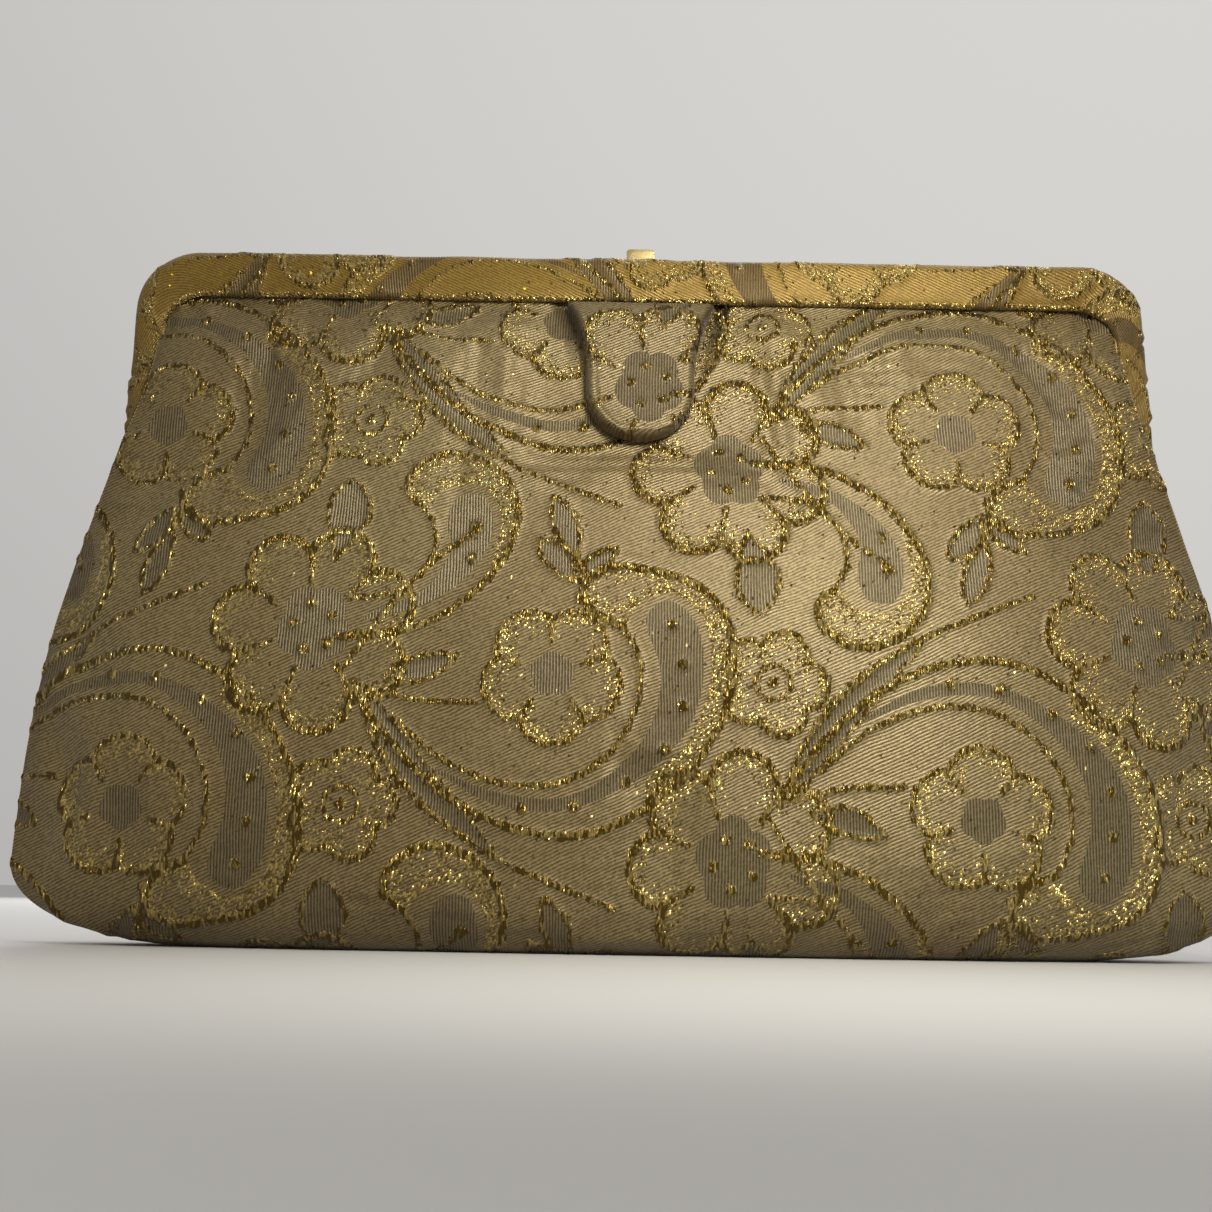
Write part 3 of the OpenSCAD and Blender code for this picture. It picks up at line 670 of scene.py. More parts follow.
class Finish:
    """A material made of nodes, with short calls for what is used often."""

    def __init__(self, name):
        self.material = bpy.data.materials.new(name)
        self.material.use_nodes = True
        self.tree = self.material.node_tree
        self.shader = self.tree.nodes["Principled BSDF"]

    def node(self, kind, **settings):
        made = self.tree.nodes.new(kind)
        for key, value in settings.items():
            setattr(made, key, value)
        return made

    def put(self, socket, value):
        if isinstance(value, bpy.types.NodeSocket):
            self.tree.links.new(value, socket)
        elif value is not None:
            socket.default_value = value

    def math(self, operation, a, b=None, c=None, clamp=False):
        made = self.node("ShaderNodeMath", operation=operation, use_clamp=clamp)
        for socket, value in zip(made.inputs, (a, b, c)):
            self.put(socket, value)
        return made.outputs[0]

    def mul(self, a, b):
        return self.math("MULTIPLY", a, b)

    def add(self, a, b):
        return self.math("ADD", a, b)

    def sub(self, a, b):
        return self.math("SUBTRACT", a, b)

    def mul_add(self, a, b, c, clamp=False):
        """a times b, plus c."""
        return self.math("MULTIPLY_ADD", a, b, c, clamp)

    def step(self, value, low, high):
        """0 below low, 1 above high, smooth between; low may be the larger."""
        made = self.node("ShaderNodeMapRange", interpolation_type="SMOOTHSTEP")
        for socket, number in zip(made.inputs, (value, low, high, 0.0, 1.0)):
            self.put(socket, number)
        return made.outputs[0]

    def mix(self, factor, a, b):
        made = self.node("ShaderNodeMix", data_type="RGBA")
        self.put(made.inputs[0], factor)
        self.put(made.inputs[6], a if isinstance(a, bpy.types.NodeSocket) else (*a, 1))
        self.put(made.inputs[7], b if isinstance(b, bpy.types.NodeSocket) else (*b, 1))
        return made.outputs[2]

    def mix_value(self, factor, a, b):
        """a where factor is 0, b where it is 1."""
        made = self.node("ShaderNodeMix", data_type="FLOAT")
        for socket, value in zip((made.inputs[0], made.inputs[2], made.inputs[3]), (factor, a, b)):
            self.put(socket, value)
        return made.outputs[0]

    def wave(self, phase):
        """A sine between 0 and 1; phase counts whole waves."""
        turned = self.mul(phase, 2 * math.pi)
        return self.mul_add(self.math("SINE", turned), 0.5, 0.5)

    def split(self, vector):
        made = self.node("ShaderNodeSeparateXYZ")
        self.put(made.inputs[0], vector)
        return made.outputs[0], made.outputs[1], made.outputs[2]

    def join(self, x, y, z=0.0):
        made = self.node("ShaderNodeCombineXYZ")
        for socket, value in zip(made.inputs, (x, y, z)):
            self.put(socket, value)
        return made.outputs[0]

    def cells(self, u, v, width, height):
        """Short floats of thread: their edge distance and a random colour for each."""
        place = self.join(self.math("DIVIDE", u, width), self.math("DIVIDE", v, height))
        made = self.node("ShaderNodeTexVoronoi", voronoi_dimensions="2D")
        made.inputs["Scale"].default_value = 1.0
        self.put(made.inputs["Vector"], place)
        return made.outputs["Distance"], made.outputs["Color"]

    def soft_noise(self, vector, scale, detail=3.0):
        made = self.node("ShaderNodeTexNoise")
        made.inputs["Scale"].default_value = scale
        made.inputs["Detail"].default_value = detail
        self.put(made.inputs["Vector"], vector)
        return made.outputs["Fac"]

    def object_place(self):
        return self.node("ShaderNodeTexCoord").outputs["Object"]

    def bump(self, height_mm, normal=None, strength=1.0):
        made = self.node("ShaderNodeBump")
        made.inputs["Strength"].default_value = strength
        made.inputs["Distance"].default_value = MM
        self.put(made.inputs["Height"], height_mm)
        self.put(made.inputs["Normal"], normal)
        return made.outputs[0]

    def tilt(self, normal, colour, amount):
        """Turns the normal a different way for each float, so that some of them catch the light."""
        centred = self.node("ShaderNodeVectorMath", operation="SUBTRACT")
        self.put(centred.inputs[0], colour)
        centred.inputs[1].default_value = (0.5, 0.5, 0.5)
        scaled = self.node("ShaderNodeVectorMath", operation="SCALE")
        self.put(scaled.inputs[0], centred.outputs[0])
        self.put(scaled.inputs["Scale"], amount)
        total = self.node("ShaderNodeVectorMath", operation="ADD")
        self.put(total.inputs[0], normal)
        self.put(total.inputs[1], scaled.outputs[0])
        unit = self.node("ShaderNodeVectorMath", operation="NORMALIZE")
        self.put(unit.inputs[0], total.outputs[0])
        return unit.outputs[0]


TWILL_PITCH = 0.63
RIB_PITCH = 0.60
FLOAT_SIZE = (0.46, 1.25)
GLITTER_SIZE = (0.44, 0.50)
FLECK_SIZE = (0.40, 0.30)


def brocade(name, ground, ground_dark, rib, rib_dark, outline_share=1.0):
    """Woven brocade: a satin twill ground, ribbed areas, and raised metal thread."""
    c = colours()
    f = Finish(name)
    u, v, _ = f.split(f.node("ShaderNodeUVMap", uv_map="cloth").outputs[0])
    fields = f.node("ShaderNodeAttribute", attribute_name="weave", attribute_type="GEOMETRY")
    cord, rib_edge, metal_edge = f.split(fields.outputs["Vector"])
    place = f.object_place()
    drift = f.soft_noise(place, 60.0)
    patch = f.soft_noise(place, 16.0, 4.0)
    across_twill = f.math("DIVIDE", f.sub(f.mul(v, 0.906), f.mul(u, 0.42)), TWILL_PITCH)
    twill = f.wave(f.add(across_twill, f.mul(drift, 3.0)))
    ribs = f.wave(f.add(f.math("DIVIDE", u, RIB_PITCH), f.mul(drift, 2.0)))
    thread_edge, thread = f.cells(u, v, *FLOAT_SIZE)
    grain_edge, grain = f.cells(u, f.mul_add(u, -0.45, v), *GLITTER_SIZE)
    _, fleck = f.cells(f.add(u, 11.7), f.mul_add(u, -0.45, v), *FLECK_SIZE)
    fleck_r, _, _ = f.split(fleck)
    thread_r, thread_g, _ = f.split(thread)
    grain_r, grain_g, grain_b = f.split(grain)
    # masks
    half = outline_share * sizes().cord_w / MM / 2
    ragged = f.mul_add(thread_r, 0.55, f.sub(cord, 0.275))
    on_cord = f.step(ragged, half + 0.14, half - 0.10)
    on_rib = f.step(rib_edge, 0.12, -0.18)
    density = f.mul_add(metal_edge, 0.17, 0.78, clamp=True)
    scattered = f.step(f.sub(grain_r, density), 0.03, -0.03)
    on_metal = f.mul(f.step(metal_edge, 0.15, -0.15), scattered)
    on_metal = f.mul(on_metal, f.sub(1.0, on_rib))
    stray = f.step(grain_g, 0.985, 0.995)
    # colour
    broken = f.mul_add(f.sub(fleck_r, 0.5), 0.75, twill, clamp=True)
    base = f.mix(broken, ground_dark, ground)
    broken = f.mul_add(f.sub(fleck_r, 0.5), 0.45, ribs, clamp=True)
    ribbed = f.mix(broken, rib_dark, rib)
    base = f.mix(on_rib, base, ribbed)
    metal = f.mix(f.step(grain_b, 0.15, 0.80), c.glint, c.gold)
    base = f.mix(on_metal, base, metal)
    outline = f.mix(f.step(thread_g, 0.38, 1.0), c.gold_dark, c.gold)
    base = f.mix(on_cord, base, outline)
    # Mixes the cloth towards dark brown by the stored attribute, broken up by noise: painted shade in
    # hollows and along edges, and darkening towards the bottom and on the tab.
    shade_and_darkening = f.node("ShaderNodeAttribute", attribute_name="shade_and_darkening", attribute_type="GEOMETRY").outputs["Fac"]
    darkening_share = f.math("MULTIPLY", shade_and_darkening, f.mul_add(patch, 0.8, 0.45), clamp=True)
    base = f.mix(darkening_share, base, c.shade_and_darkening)
    worn = f.mix(f.step(patch, 0.35, 0.72), (0.80, 0.76, 0.70), (1.0, 1.0, 1.0))
    tone = f.node("ShaderNodeMix", data_type="RGBA", blend_type="MULTIPLY")
    tone.inputs[0].default_value = 1.0
    f.put(tone.inputs[6], base)
    f.put(tone.inputs[7], worn)
    f.put(f.shader.inputs["Base Color"], tone.outputs[2])
    # gloss
    gold = f.math("MAXIMUM", on_cord, f.math("MAXIMUM", on_metal, stray))
    f.put(f.shader.inputs["Metallic"], f.mul_add(gold, 0.60, 0.32))
    f.put(f.shader.inputs["Roughness"], f.mul_add(gold, -0.16, 0.46))
    f.shader.inputs["Sheen Weight"].default_value = 0.12
    f.shader.inputs["Sheen Roughness"].default_value = 0.45
    # relief
    soft = f.sub(1.0, gold)
    weave_h = f.mul(f.mix_value(on_rib, f.mul(twill, 0.060), f.mul(ribs, 0.085)), soft)
    cord_h = f.mul(on_cord, f.mul_add(thread_edge, -0.30, 0.30))
    metal_h = f.mul(on_metal, f.mul_add(grain_edge, -0.20, 0.17))
    height = f.add(weave_h, f.math("MAXIMUM", cord_h, metal_h))
    normal = f.bump(height)
    normal = f.tilt(normal, thread, f.mul(on_cord, 0.75))
    metal_only = f.mul(f.math("MAXIMUM", on_metal, stray), f.sub(1.0, on_cord))
    normal = f.tilt(normal, grain, f.mul(metal_only, 0.85))
    f.put(f.shader.inputs["Normal"], normal)
    return f.material


def bag_brocade():
    c = colours()
    return cached("bag_brocade", lambda: brocade(
        "bag_brocade", c.ground, c.ground_dark, c.rib, c.rib_dark))


def rim_brocade():
    c = colours()
    return cached("rim_brocade", lambda: brocade(
        "rim_brocade", c.rim, c.rim_dark, c.rim_rib, c.rim_rib_dark, 0.55))


_finishes = {}


def cached(name, make):
    """A finish is made once and shared by the pieces that have it."""
    if name not in _finishes:
        _finishes[name] = make()
    return _finishes[name]


def satin():
    """Plain satin lining with a fine weave and soft shading."""
    def make():
        c = colours().satin
        f = Finish("lining_satin")
        place = f.object_place()
        x, _, z = f.split(place)
        weave_h = f.wave(f.math("DIVIDE", f.add(z, f.mul(x, 0.35)), 0.45 * MM))
        patch = f.soft_noise(place, 22.0)
        shade = f.mul_add(weave_h, 0.35, f.mul(patch, 0.6), clamp=True)
        f.put(f.shader.inputs["Base Color"], f.mix(shade, [0.62 * k for k in c], c))
        f.shader.inputs["Roughness"].default_value = 0.42
        f.shader.inputs["Sheen Weight"].default_value = 0.25
        f.put(f.shader.inputs["Normal"], f.bump(f.mul_add(weave_h, 0.03, f.mul(patch, 0.25))))
        return f.material
    return cached("lining_satin", make)


def metal(name, colour, roughness, wear):
    """Plated or plain metal with fine scratches and dull patches."""
    def make():
        f = Finish(name)
        place = f.object_place()
        x, y, z = f.split(place)
        scratch = f.soft_noise(f.join(f.mul(x, 90.0), f.mul(y, 900.0),
                               f.mul(z, 900.0)), 6.0, 4.0)
        patch = f.soft_noise(place, 190.0, 4.0)
        dull = f.step(patch, 0.42, 0.68)
        tarnish = [k * 0.45 for k in colour]
        f.put(f.shader.inputs["Base Color"], f.mix(f.mul(dull, wear), colour, tarnish))
        f.shader.inputs["Metallic"].default_value = 1.0
        rough = f.mul_add(dull, 0.22, roughness)
        f.put(f.shader.inputs["Roughness"], f.mul_add(scratch, 0.12, rough))
        f.put(f.shader.inputs["Normal"], f.bump(f.mul(scratch, 0.02)))
        return f.material
    return cached(name, make)


def card(name, colour, fibre):
    """Grey board or twisted paper, with fibres."""
    def make():
        f = Finish(name)
        place = f.object_place()
        fine = f.soft_noise(place, fibre, 5.0)
        dark = [k * 0.6 for k in colour]
        f.put(f.shader.inputs["Base Color"], f.mix(f.step(fine, 0.3, 0.7), dark, colour))
        f.shader.inputs["Roughness"].default_value = 0.9
        f.put(f.shader.inputs["Normal"], f.bump(f.mul(fine, 0.12)))
        return f.material
    return cached(name, make)


def finish_nodes(names, material):
    """Gives CAD nodes that stay in view their material."""
    for name in names:
        node = frame["nodes"][name]
        node.data.materials.clear()
        node.data.materials.append(material)


# ---- Soft pieces -----------------------------------------------------------------------------

FINE_COLS, FINE_ROWS, COARSE_STEP = 361, 225, 8
FRONT_SHIFT = (0.0, 0.0)
BACK_SHIFT = (58.0, 33.0)


PAD_SLACK, PAD_PRESSURE = 0.010, 0.9
DENT_WIDTH, DENT_DEPTH = 19.0, 0.30
# Darkening towards the bottom, painted shade along the rolled side edges, and painted shade in the hollow
# beside the tab.
BASE_DARKENING, EDGE_SHADE, TAB_HOLLOW_SHADE = 0.40, 0.35, 0.75
HOLLOW_LENGTH = 22  # how far below the tab's top the cloth is hollow beside it, with painted shade in the hollow
CREASES = [  # start, end, width and depth of the folds at the rim's corners
    ((100, 139), (85, 127), 1.3, 0.9), ((97, 141), (83, 137), 1.0, 0.6),
    ((-101, 138), (-92, 128), 1.2, 0.7)]


def enlarged(values, rows, cols):
    """A coarse grid of numbers, stretched to rows by cols."""
    r, c = np.linspace(0, values.shape[0] - 1, rows), np.linspace(0, values.shape[1] - 1, cols)
    wide = np.stack([np.interp(c, np.arange(values.shape[1]), row) for row in values])
    return np.stack([np.interp(r, np.arange(values.shape[0]), col) for col in wide.T], 1)


def padded_wall(name, front, shift, seed):
    """One wall of the bag: a fine woven face outside and a coarse one inside, closed all round."""
    shape = BagShape()
    s = across(FINE_COLS)
    p_rows, flat_v = shape.rows(FINE_ROWS)
    x, y, z = shape.point(s[None, :], p_rows[:, None])
    side = -1 if front else 1
    points = np.stack([x, side * y, z], 2)
    points += spread(drape(shape, front, seed), FINE_ROWS, FINE_COLS)
    flat_u = x * (1 if front else -1)
    pressed = sum(crease(x, z, *fold) for fold in CREASES)
    # Darker towards the bottom, and painted shade along the side edges where the cloth rolls round to the
    # gussets.
    shade_and_darkening = BASE_DARKENING * np.clip((15 - z) / 13, 0, 1)
    shade_and_darkening = shade_and_darkening + EDGE_SHADE * np.clip((np.abs(s[None, :]) - 0.93) / 0.07, 0, 1)
    if front:
        tab_top = box_mm("tab_front_cover")[1][2]
        outside = np.abs(x) - tab_half_width(np.clip(tab_top - z, 0, None))
        beside = np.exp(-(((outside - 1.2) / 1.7) ** 2)) * (z > tab_top - HOLLOW_LENGTH)
        beside *= np.clip((z - tab_top + HOLLOW_LENGTH) / 14, 0, 1)
        pressed += beside
        # Painted shadow in the hollow beside the tab's top.
        shade_and_darkening += TAB_HOLLOW_SHADE * beside * np.clip((z - tab_top + HOLLOW_LENGTH - 2) / 16, 0, 1)
    points[..., 1] -= side * pressed
    some = points[::4, ::4]
    dents = low_noise(some.reshape(-1, 3), DENT_WIDTH, seed + 2).reshape(some.shape[:2])
    dents = enlarged(dents, FINE_ROWS, FINE_COLS)
    points[..., 1] += side * DENT_DEPTH * dents * np.clip((z - 2) / 8, 0, 1)
    u = (flat_u + shift[0]).ravel()
    v = (np.repeat(flat_v[:, None], FINE_COLS, 1) + shift[1]).ravel()
    height = threads(u, v).reshape(x.shape) * np.clip((z - 0.2) / 1.5, 0, 1)
    normals = grid_normals(points) * (1 if front else -1)
    outer = points + normals * height[..., None]
    outer[..., 2] = np.maximum(outer[..., 2], 0.0)
    rows_c, cols_c = np.arange(0, FINE_ROWS, COARSE_STEP), np.arange(0, FINE_COLS, COARSE_STEP)
    inner = (points - normals * sizes().cloth_t / MM)[rows_c][:, cols_c]
    inner[..., 2] = np.maximum(inner[..., 2], 0.2)
    nr, nc = len(rows_c), len(cols_c)
    first = FINE_ROWS * FINE_COLS
    faces = grid_faces(FINE_ROWS, FINE_COLS, not front) + grid_faces(nr, nc, front, first)
    faces += rim_faces(nr, nc, first, front)
    piece = mesh_object(name, np.vstack([outer.reshape(-1, 3), inner.reshape(-1, 3)]), faces)
    inner_index = (rows_c[:, None] * FINE_COLS + cols_c[None, :]).ravel()
    shade_and_darkening = shade_and_darkening.ravel()
    weave_cloth(piece, *(np.concatenate([a, a[inner_index]]) for a in (u, v, shade_and_darkening)))
    smooth(piece)
    piece.data.materials.append(bag_brocade())
    return piece


def rim_faces(nr, nc, first, front):
    """Faces that join the fine and the coarse grid round their edge."""
    step, faces = COARSE_STEP, []

    def edge(fine, coarse, flip):
        face = list(fine) + list(coarse)[::-1]
        faces.append(face[::-1] if flip else face)

    last_row, last_col = (nr - 1) * step, (nc - 1) * step
    for k in range(nc - 1):
        cols = range(k * step, (k + 1) * step + 1)
        edge([c for c in cols], [first + k, first + k + 1], front is False)
        edge([last_row * FINE_COLS + c for c in cols],
             [first + (nr - 1) * nc + k, first + (nr - 1) * nc + k + 1], front is True)
    for k in range(nr - 1):
        rows = range(k * step, (k + 1) * step + 1)
        edge([r * FINE_COLS for r in rows], [first + k * nc, first + (k + 1) * nc], front is True)
        edge([r * FINE_COLS + last_col for r in rows],
             [first + k * nc + nc - 1, first + (k + 1) * nc + nc - 1], front is False)
    return faces


class CLUTCH_OT_front_cloth(bpy.types.Operator):
    """Makes the padded brocade front, one cloth from the base to the rim"""

    bl_idname = "clutch.front_cloth"
    bl_label = "Front cloth"

    def execute(self, context):
        piece = padded_wall("front_cloth", True, FRONT_SHIFT, 3)
        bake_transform(piece)
        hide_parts("front_panel_upper", "front_panel_lower")
        return {"FINISHED"}


class CLUTCH_OT_back_cloth(bpy.types.Operator):
    """Makes the padded brocade back"""

    bl_idname = "clutch.back_cloth"
    bl_label = "Back cloth"

    def execute(self, context):
        piece = padded_wall("back_cloth", False, BACK_SHIFT, 8)
        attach(piece, "bag")
        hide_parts("back_panel")
        return {"FINISHED"}


def sheet_size(points):
    """Width and length of a grid of points in metres, along its middle row and column."""
    r, c = points.shape[0] // 2, points.shape[1] // 2
    width = np.linalg.norm(np.diff(points[r], axis=0), axis=1).sum()
    length = np.linalg.norm(np.diff(points[:, c], axis=0), axis=1).sum()
    return float(width * MM), float(length * MM)


def grid_area(points):
    """Area of a grid of points, in square metres."""
    a, b = np.diff(points, axis=0)[:, :-1], np.diff(points, axis=1)[:-1]
    return float(np.linalg.norm(np.cross(a, b), axis=2).sum() * MM * MM)


def declare_sheet(piece, points):
    width, length = sheet_size(points)
    area = grid_area(points)


GUSSET_COLS, GUSSET_ROWS = 45, 141
GUSSET_T = 0.7
GUSSET_LOW = 0.9
GUSSET_INSET = 1.1  # inside the edges of the front and back cloth


class CLUTCH_OT_gussets(bpy.types.Operator):
    """Makes the two folded side gussets, brocade outside and satin inside"""

    bl_idname = "clutch.gussets"
    bl_label = "Side gussets"

    def execute(self, context):
        shape = BagShape()
        p_rows, flat_v = shape.rows(GUSSET_ROWS, 1.05, shape.p_at(HINGE_Z - 1))
        t = np.linspace(-1, 1, GUSSET_COLS)[None, :]
        for name, side, node in (("gusset_left_cloth", -1, "left_gusset"),
                                 ("gusset_right_cloth", 1, "right_gusset")):
            x_edge, y_edge, z = (a[:, None] for a in shape.point(1.0, p_rows))
            fold = sizes().fold / MM * np.clip(z / 26, 0, 1) * np.clip((HINGE_Z + 8 - z) / 40, 0.35, 1)
            inward = fold * (1 - np.abs(t) ** 1.15) + 0.5 * np.sin(z / 9) * (1 - t**2)
            x = x_edge - GUSSET_INSET - inward
            y = t * (y_edge - 0.8)
            points = np.stack([side * x, y, np.broadcast_to(z, x.shape)], 2)
            u = np.broadcast_to(t * 16 + 40 * side, x.shape).ravel()
            v = np.broadcast_to(flat_v[:, None] + 17, x.shape).ravel()
            points += grid_normals(points) * (side * threads(u, v).reshape(x.shape))[..., None]
            points[..., 2] = np.maximum(points[..., 2], GUSSET_LOW)
            faces = grid_faces(GUSSET_ROWS, GUSSET_COLS, side < 0)
            piece = mesh_object(name, points.reshape(-1, 3), faces)
            weave_cloth(piece, u, v)
            piece.data.materials.append(bag_brocade())
            piece.data.materials.append(satin())
            apply_modifier(piece, "SOLIDIFY", thickness=GUSSET_T * MM, offset=-1, material_offset=1)
            smooth(piece)
            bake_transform(piece)
            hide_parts(node)
            declare_sheet(piece, points)
        return {"FINISHED"}


# ---- Rim covers ------------------------------------------------------------------------------

RIM_STEP = 0.75
EDGE_LINE = 2.6  # where the bright line along the rim's lower edge runs, across the cover; a band of scattered gold thread there is a painted highlight on the rolled edge
NOTCH_DEEP = 6
NOTCH_GAP = 0.7


RIM_PROFILE = [  # share of the way from the rim's inner to its outer edge, and depth from its front
    (0.16, -1.5), (0.06, -1.35), (0.0, -0.9), (0.0, -0.4), (0.05, 0.1), (0.16, 0.42), (0.34, 0.58),
    (0.52, 0.64), (0.70, 0.60), (0.88, 0.42), (0.98, -0.1), (1.03, -1.0), (1.04, -2.6), (1.03, -4.2),
    (1.0, -5.6), (0.975, -6.5), (0.93, -6.86), (0.80, -6.9), (0.66, -6.9)]


class RimShape:
    """The covered rim: a path along the bow, and a soft profile wrapped round the frame."""

    def __init__(self):
        s = sizes()
        self.half = RIM_HIGH[0] + 0.2
        self.top = RIM_HIGH[2] + 0.1
        self.front = -RIM_LOW[1]
        self.r_out = s.corner_r / MM
        self.r_in = s.inner_r / MM
        self.rail = s.rail_h / MM
        self.arm = s.arm_w / MM
        self.foot = HINGE_Z + 1.5

    def path(self):
        """Outer and inner points in XZ, and the flat length along the rim, counted from its middle."""
        side_n = int((self.top - self.r_out - self.foot) / RIM_STEP)
        turn_n = int(self.r_out * math.pi / 2 / RIM_STEP)
        top_n = int((self.half - self.r_out - NOTCH_HALF) / RIM_STEP)
        z = np.linspace(self.foot, self.top - self.r_out, side_n, endpoint=False)
        a = np.linspace(0, math.pi / 2, turn_n, endpoint=False)
        x = np.linspace(self.half - self.r_out, NOTCH_HALF, top_n)
        x = np.concatenate([x, np.linspace(NOTCH_HALF, 0, 6)[1:]])
        inner_x, inner_z = self.half - self.arm, self.top - self.rail
        in_z = np.interp(z, [self.foot, self.top - self.r_out], [self.foot, inner_z - self.r_in])
        outer = np.concatenate([
            np.stack([np.full_like(z, self.half), z], 1),
            np.stack([self.half - self.r_out + self.r_out * np.cos(a),
                      self.top - self.r_out + self.r_out * np.sin(a)], 1),
            np.stack([x, np.full_like(x, self.top)], 1)])
        in_x = np.interp(x, [0, self.half - self.r_out], [0, inner_x - self.r_in])
        inner = np.concatenate([
            np.stack([np.full_like(z, inner_x), in_z], 1),
            np.stack([inner_x - self.r_in + self.r_in * np.cos(a),
                      inner_z - self.r_in + self.r_in * np.sin(a)], 1),
            np.stack([in_x, np.full_like(x, inner_z)], 1)])
        mirrored = [np.stack([-h[::-1, 0], h[::-1, 1]], 1)[1:] for h in (outer, inner)]
        outer, inner = np.vstack([outer, mirrored[0]]), np.vstack([inner, mirrored[1]])
        mid = (outer + inner) / 2
        along = np.concatenate([[0], np.cumsum(np.linalg.norm(np.diff(mid, axis=0), axis=1))])
        return outer, inner, along - along[-1] / 2

    def profile(self):
        """Across the rim: how far from inner to outer edge, and the depth, from the groove round the
        front to the gap between the halves."""
        mm = [(m * self.rail, self.front + d) for m, d in RIM_PROFILE]
        fine = smooth_curve(mm, step=0.2)
        along = np.concatenate([[0], np.cumsum(np.linalg.norm(np.diff(fine, axis=0), axis=1))])
        q = np.linspace(0, along[-1], int(along[-1] / RIM_STEP) + 1)
        return np.interp(q, along, fine[:, 0]) / self.rail, np.interp(q, along, fine[:, 1]), q


PLEATS = [(-139.0, 1.0), (-131.0, 0.8), (-122.0, 0.7), (128.0, 0.7), (137.0, 0.6)]  # place along, depth
PLEAT_LEAN, PLEAT_RISE = 0.35, 0.75
RIM_UNEVEN, RIM_HUMP = 0.22, 0.15
THREAD_SHARE = 0.8  # the relief is flatter where the cloth is pulled tight


def rim_cover(name, front, shift, seed):
    """Brocade wrapped round one half of the frame, pleated at the corners."""
    rim = RimShape()
    outer, inner, along = rim.path()
    m, depth, q = rim.profile()
    side = -1 if front else 1
    xz = inner[:, None, :] + (outer - inner)[:, None, :] * m[None, :, None]
    points = np.stack([xz[..., 0], side * np.broadcast_to(depth, xz.shape[:2]), xz[..., 1]], 2)
    along_g = np.broadcast_to(along[:, None], xz.shape[:2])
    q_g = np.broadcast_to(q[None, :], xz.shape[:2])
    normals = grid_normals(points)
    centre = np.array([0, side * (rim.front - 4), rim.top - 40])
    outward = ((points - centre) * normals).sum(2).mean() > 0
    if not outward:
        normals = -normals
    u, v = (along_g + shift[0]).ravel(), (q_g + shift[1]).ravel()
    cord, rib, glitter = weave().sample(u, v)
    height = threads(u, v).reshape(along_g.shape)
    # A band of scattered gold thread along EDGE_LINE: painted highlight on the rim's rolled lower edge.
    glitter = np.minimum(glitter.reshape(along_g.shape), np.abs(q_g - EDGE_LINE) - 0.8)
    held = np.clip(q_g / 2.0, 0, 1) * np.clip((q[-1] - q_g) / 3.0, 0, 1)
    soft = low_noise(points.reshape(-1, 3), 9.0, seed).reshape(along_g.shape) * RIM_UNEVEN
    pleat = np.zeros_like(soft)
    for place, deep in PLEATS:
        lean = PLEAT_LEAN * (q_g - 6)
        off = along_g - place - lean
        pleat += deep * (0.55 * np.exp(-((off - 1.1) / 1.0) ** 2) - np.exp(-(off / 0.55) ** 2))
    hump = RIM_HUMP * np.exp(-(along_g / 5.5) ** 2) * np.clip((q_g - 8) / 4, 0, 1)
    rise = (height * THREAD_SHARE + soft + PLEAT_RISE * pleat + hump) * held
    points = points + normals * rise[..., None]
    rows, cols = along_g.shape
    faces = np.array(grid_faces(rows, cols, not outward))
    middle = points.reshape(-1, 3)[faces].mean(1)
    if front:
        over_notch = (np.abs(middle[:, 0]) < NOTCH_HALF) & (middle[:, 2] > rim.top - NOTCH_DEEP)
        faces = faces[~(over_notch & (-middle[:, 1] < NOTCH_GAP - HOOK_LOW[1]))]
    piece = mesh_object(name, points.reshape(-1, 3), faces.tolist())
    cloth_uv(piece, u, v)
    point_attribute(piece, "weave", np.stack([cord, rib, glitter.ravel()], 1))
    # Darker towards the lower ends of the arms, and a painted shadow line along the groove at the rim's
    # inner edge, where the cover tucks in.
    store_shade_and_darkening(piece, 0.35 * np.clip((np.abs(along_g) - along[-1] + 42) / 30, 0, 1) + 0.3 * np.exp(-q_g / 1.2))
    piece.data.materials.append(rim_brocade())
    clean_loose(piece)
    apply_modifier(piece, "SOLIDIFY", thickness=0.4 * MM, offset=-1)
    smooth(piece)
    return piece


def clean_loose(piece):
    """Removes points that no face uses."""
    mesh = bmesh.new()
    mesh.from_mesh(piece.data)
    bmesh.ops.delete(mesh, geom=[v for v in mesh.verts if not v.link_faces], context="VERTS")
    mesh.to_mesh(piece.data)
    mesh.free()


class CLUTCH_OT_rim_covers(bpy.types.Operator):
    """Makes the brocade covers of the front and back halves of the frame"""

    bl_idname = "clutch.rim_covers"
    bl_label = "Rim covers"

    def execute(self, context):
        for name, front, shift, body, node in (
            ("front_rim_cover", True, (31.0, 118.0), "front_half", "front_frame_cover"),
            ("back_rim_cover", False, (96.0, 64.0), "bag", "back_frame_cover"),
        ):
            piece = rim_cover(name, front, shift, 5 if front else 9)
            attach(piece, body)
            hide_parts(node)
        return {"FINISHED"}


# ---- Tab -------------------------------------------------------------------------------------

TAB_COLS, TAB_ROWS = 61, 65
TAB_LEAN = math.radians(8.8)
TAB_SLACK = 1.012  # the cover is a little longer than what it covers
TAB_PAD = 3.35


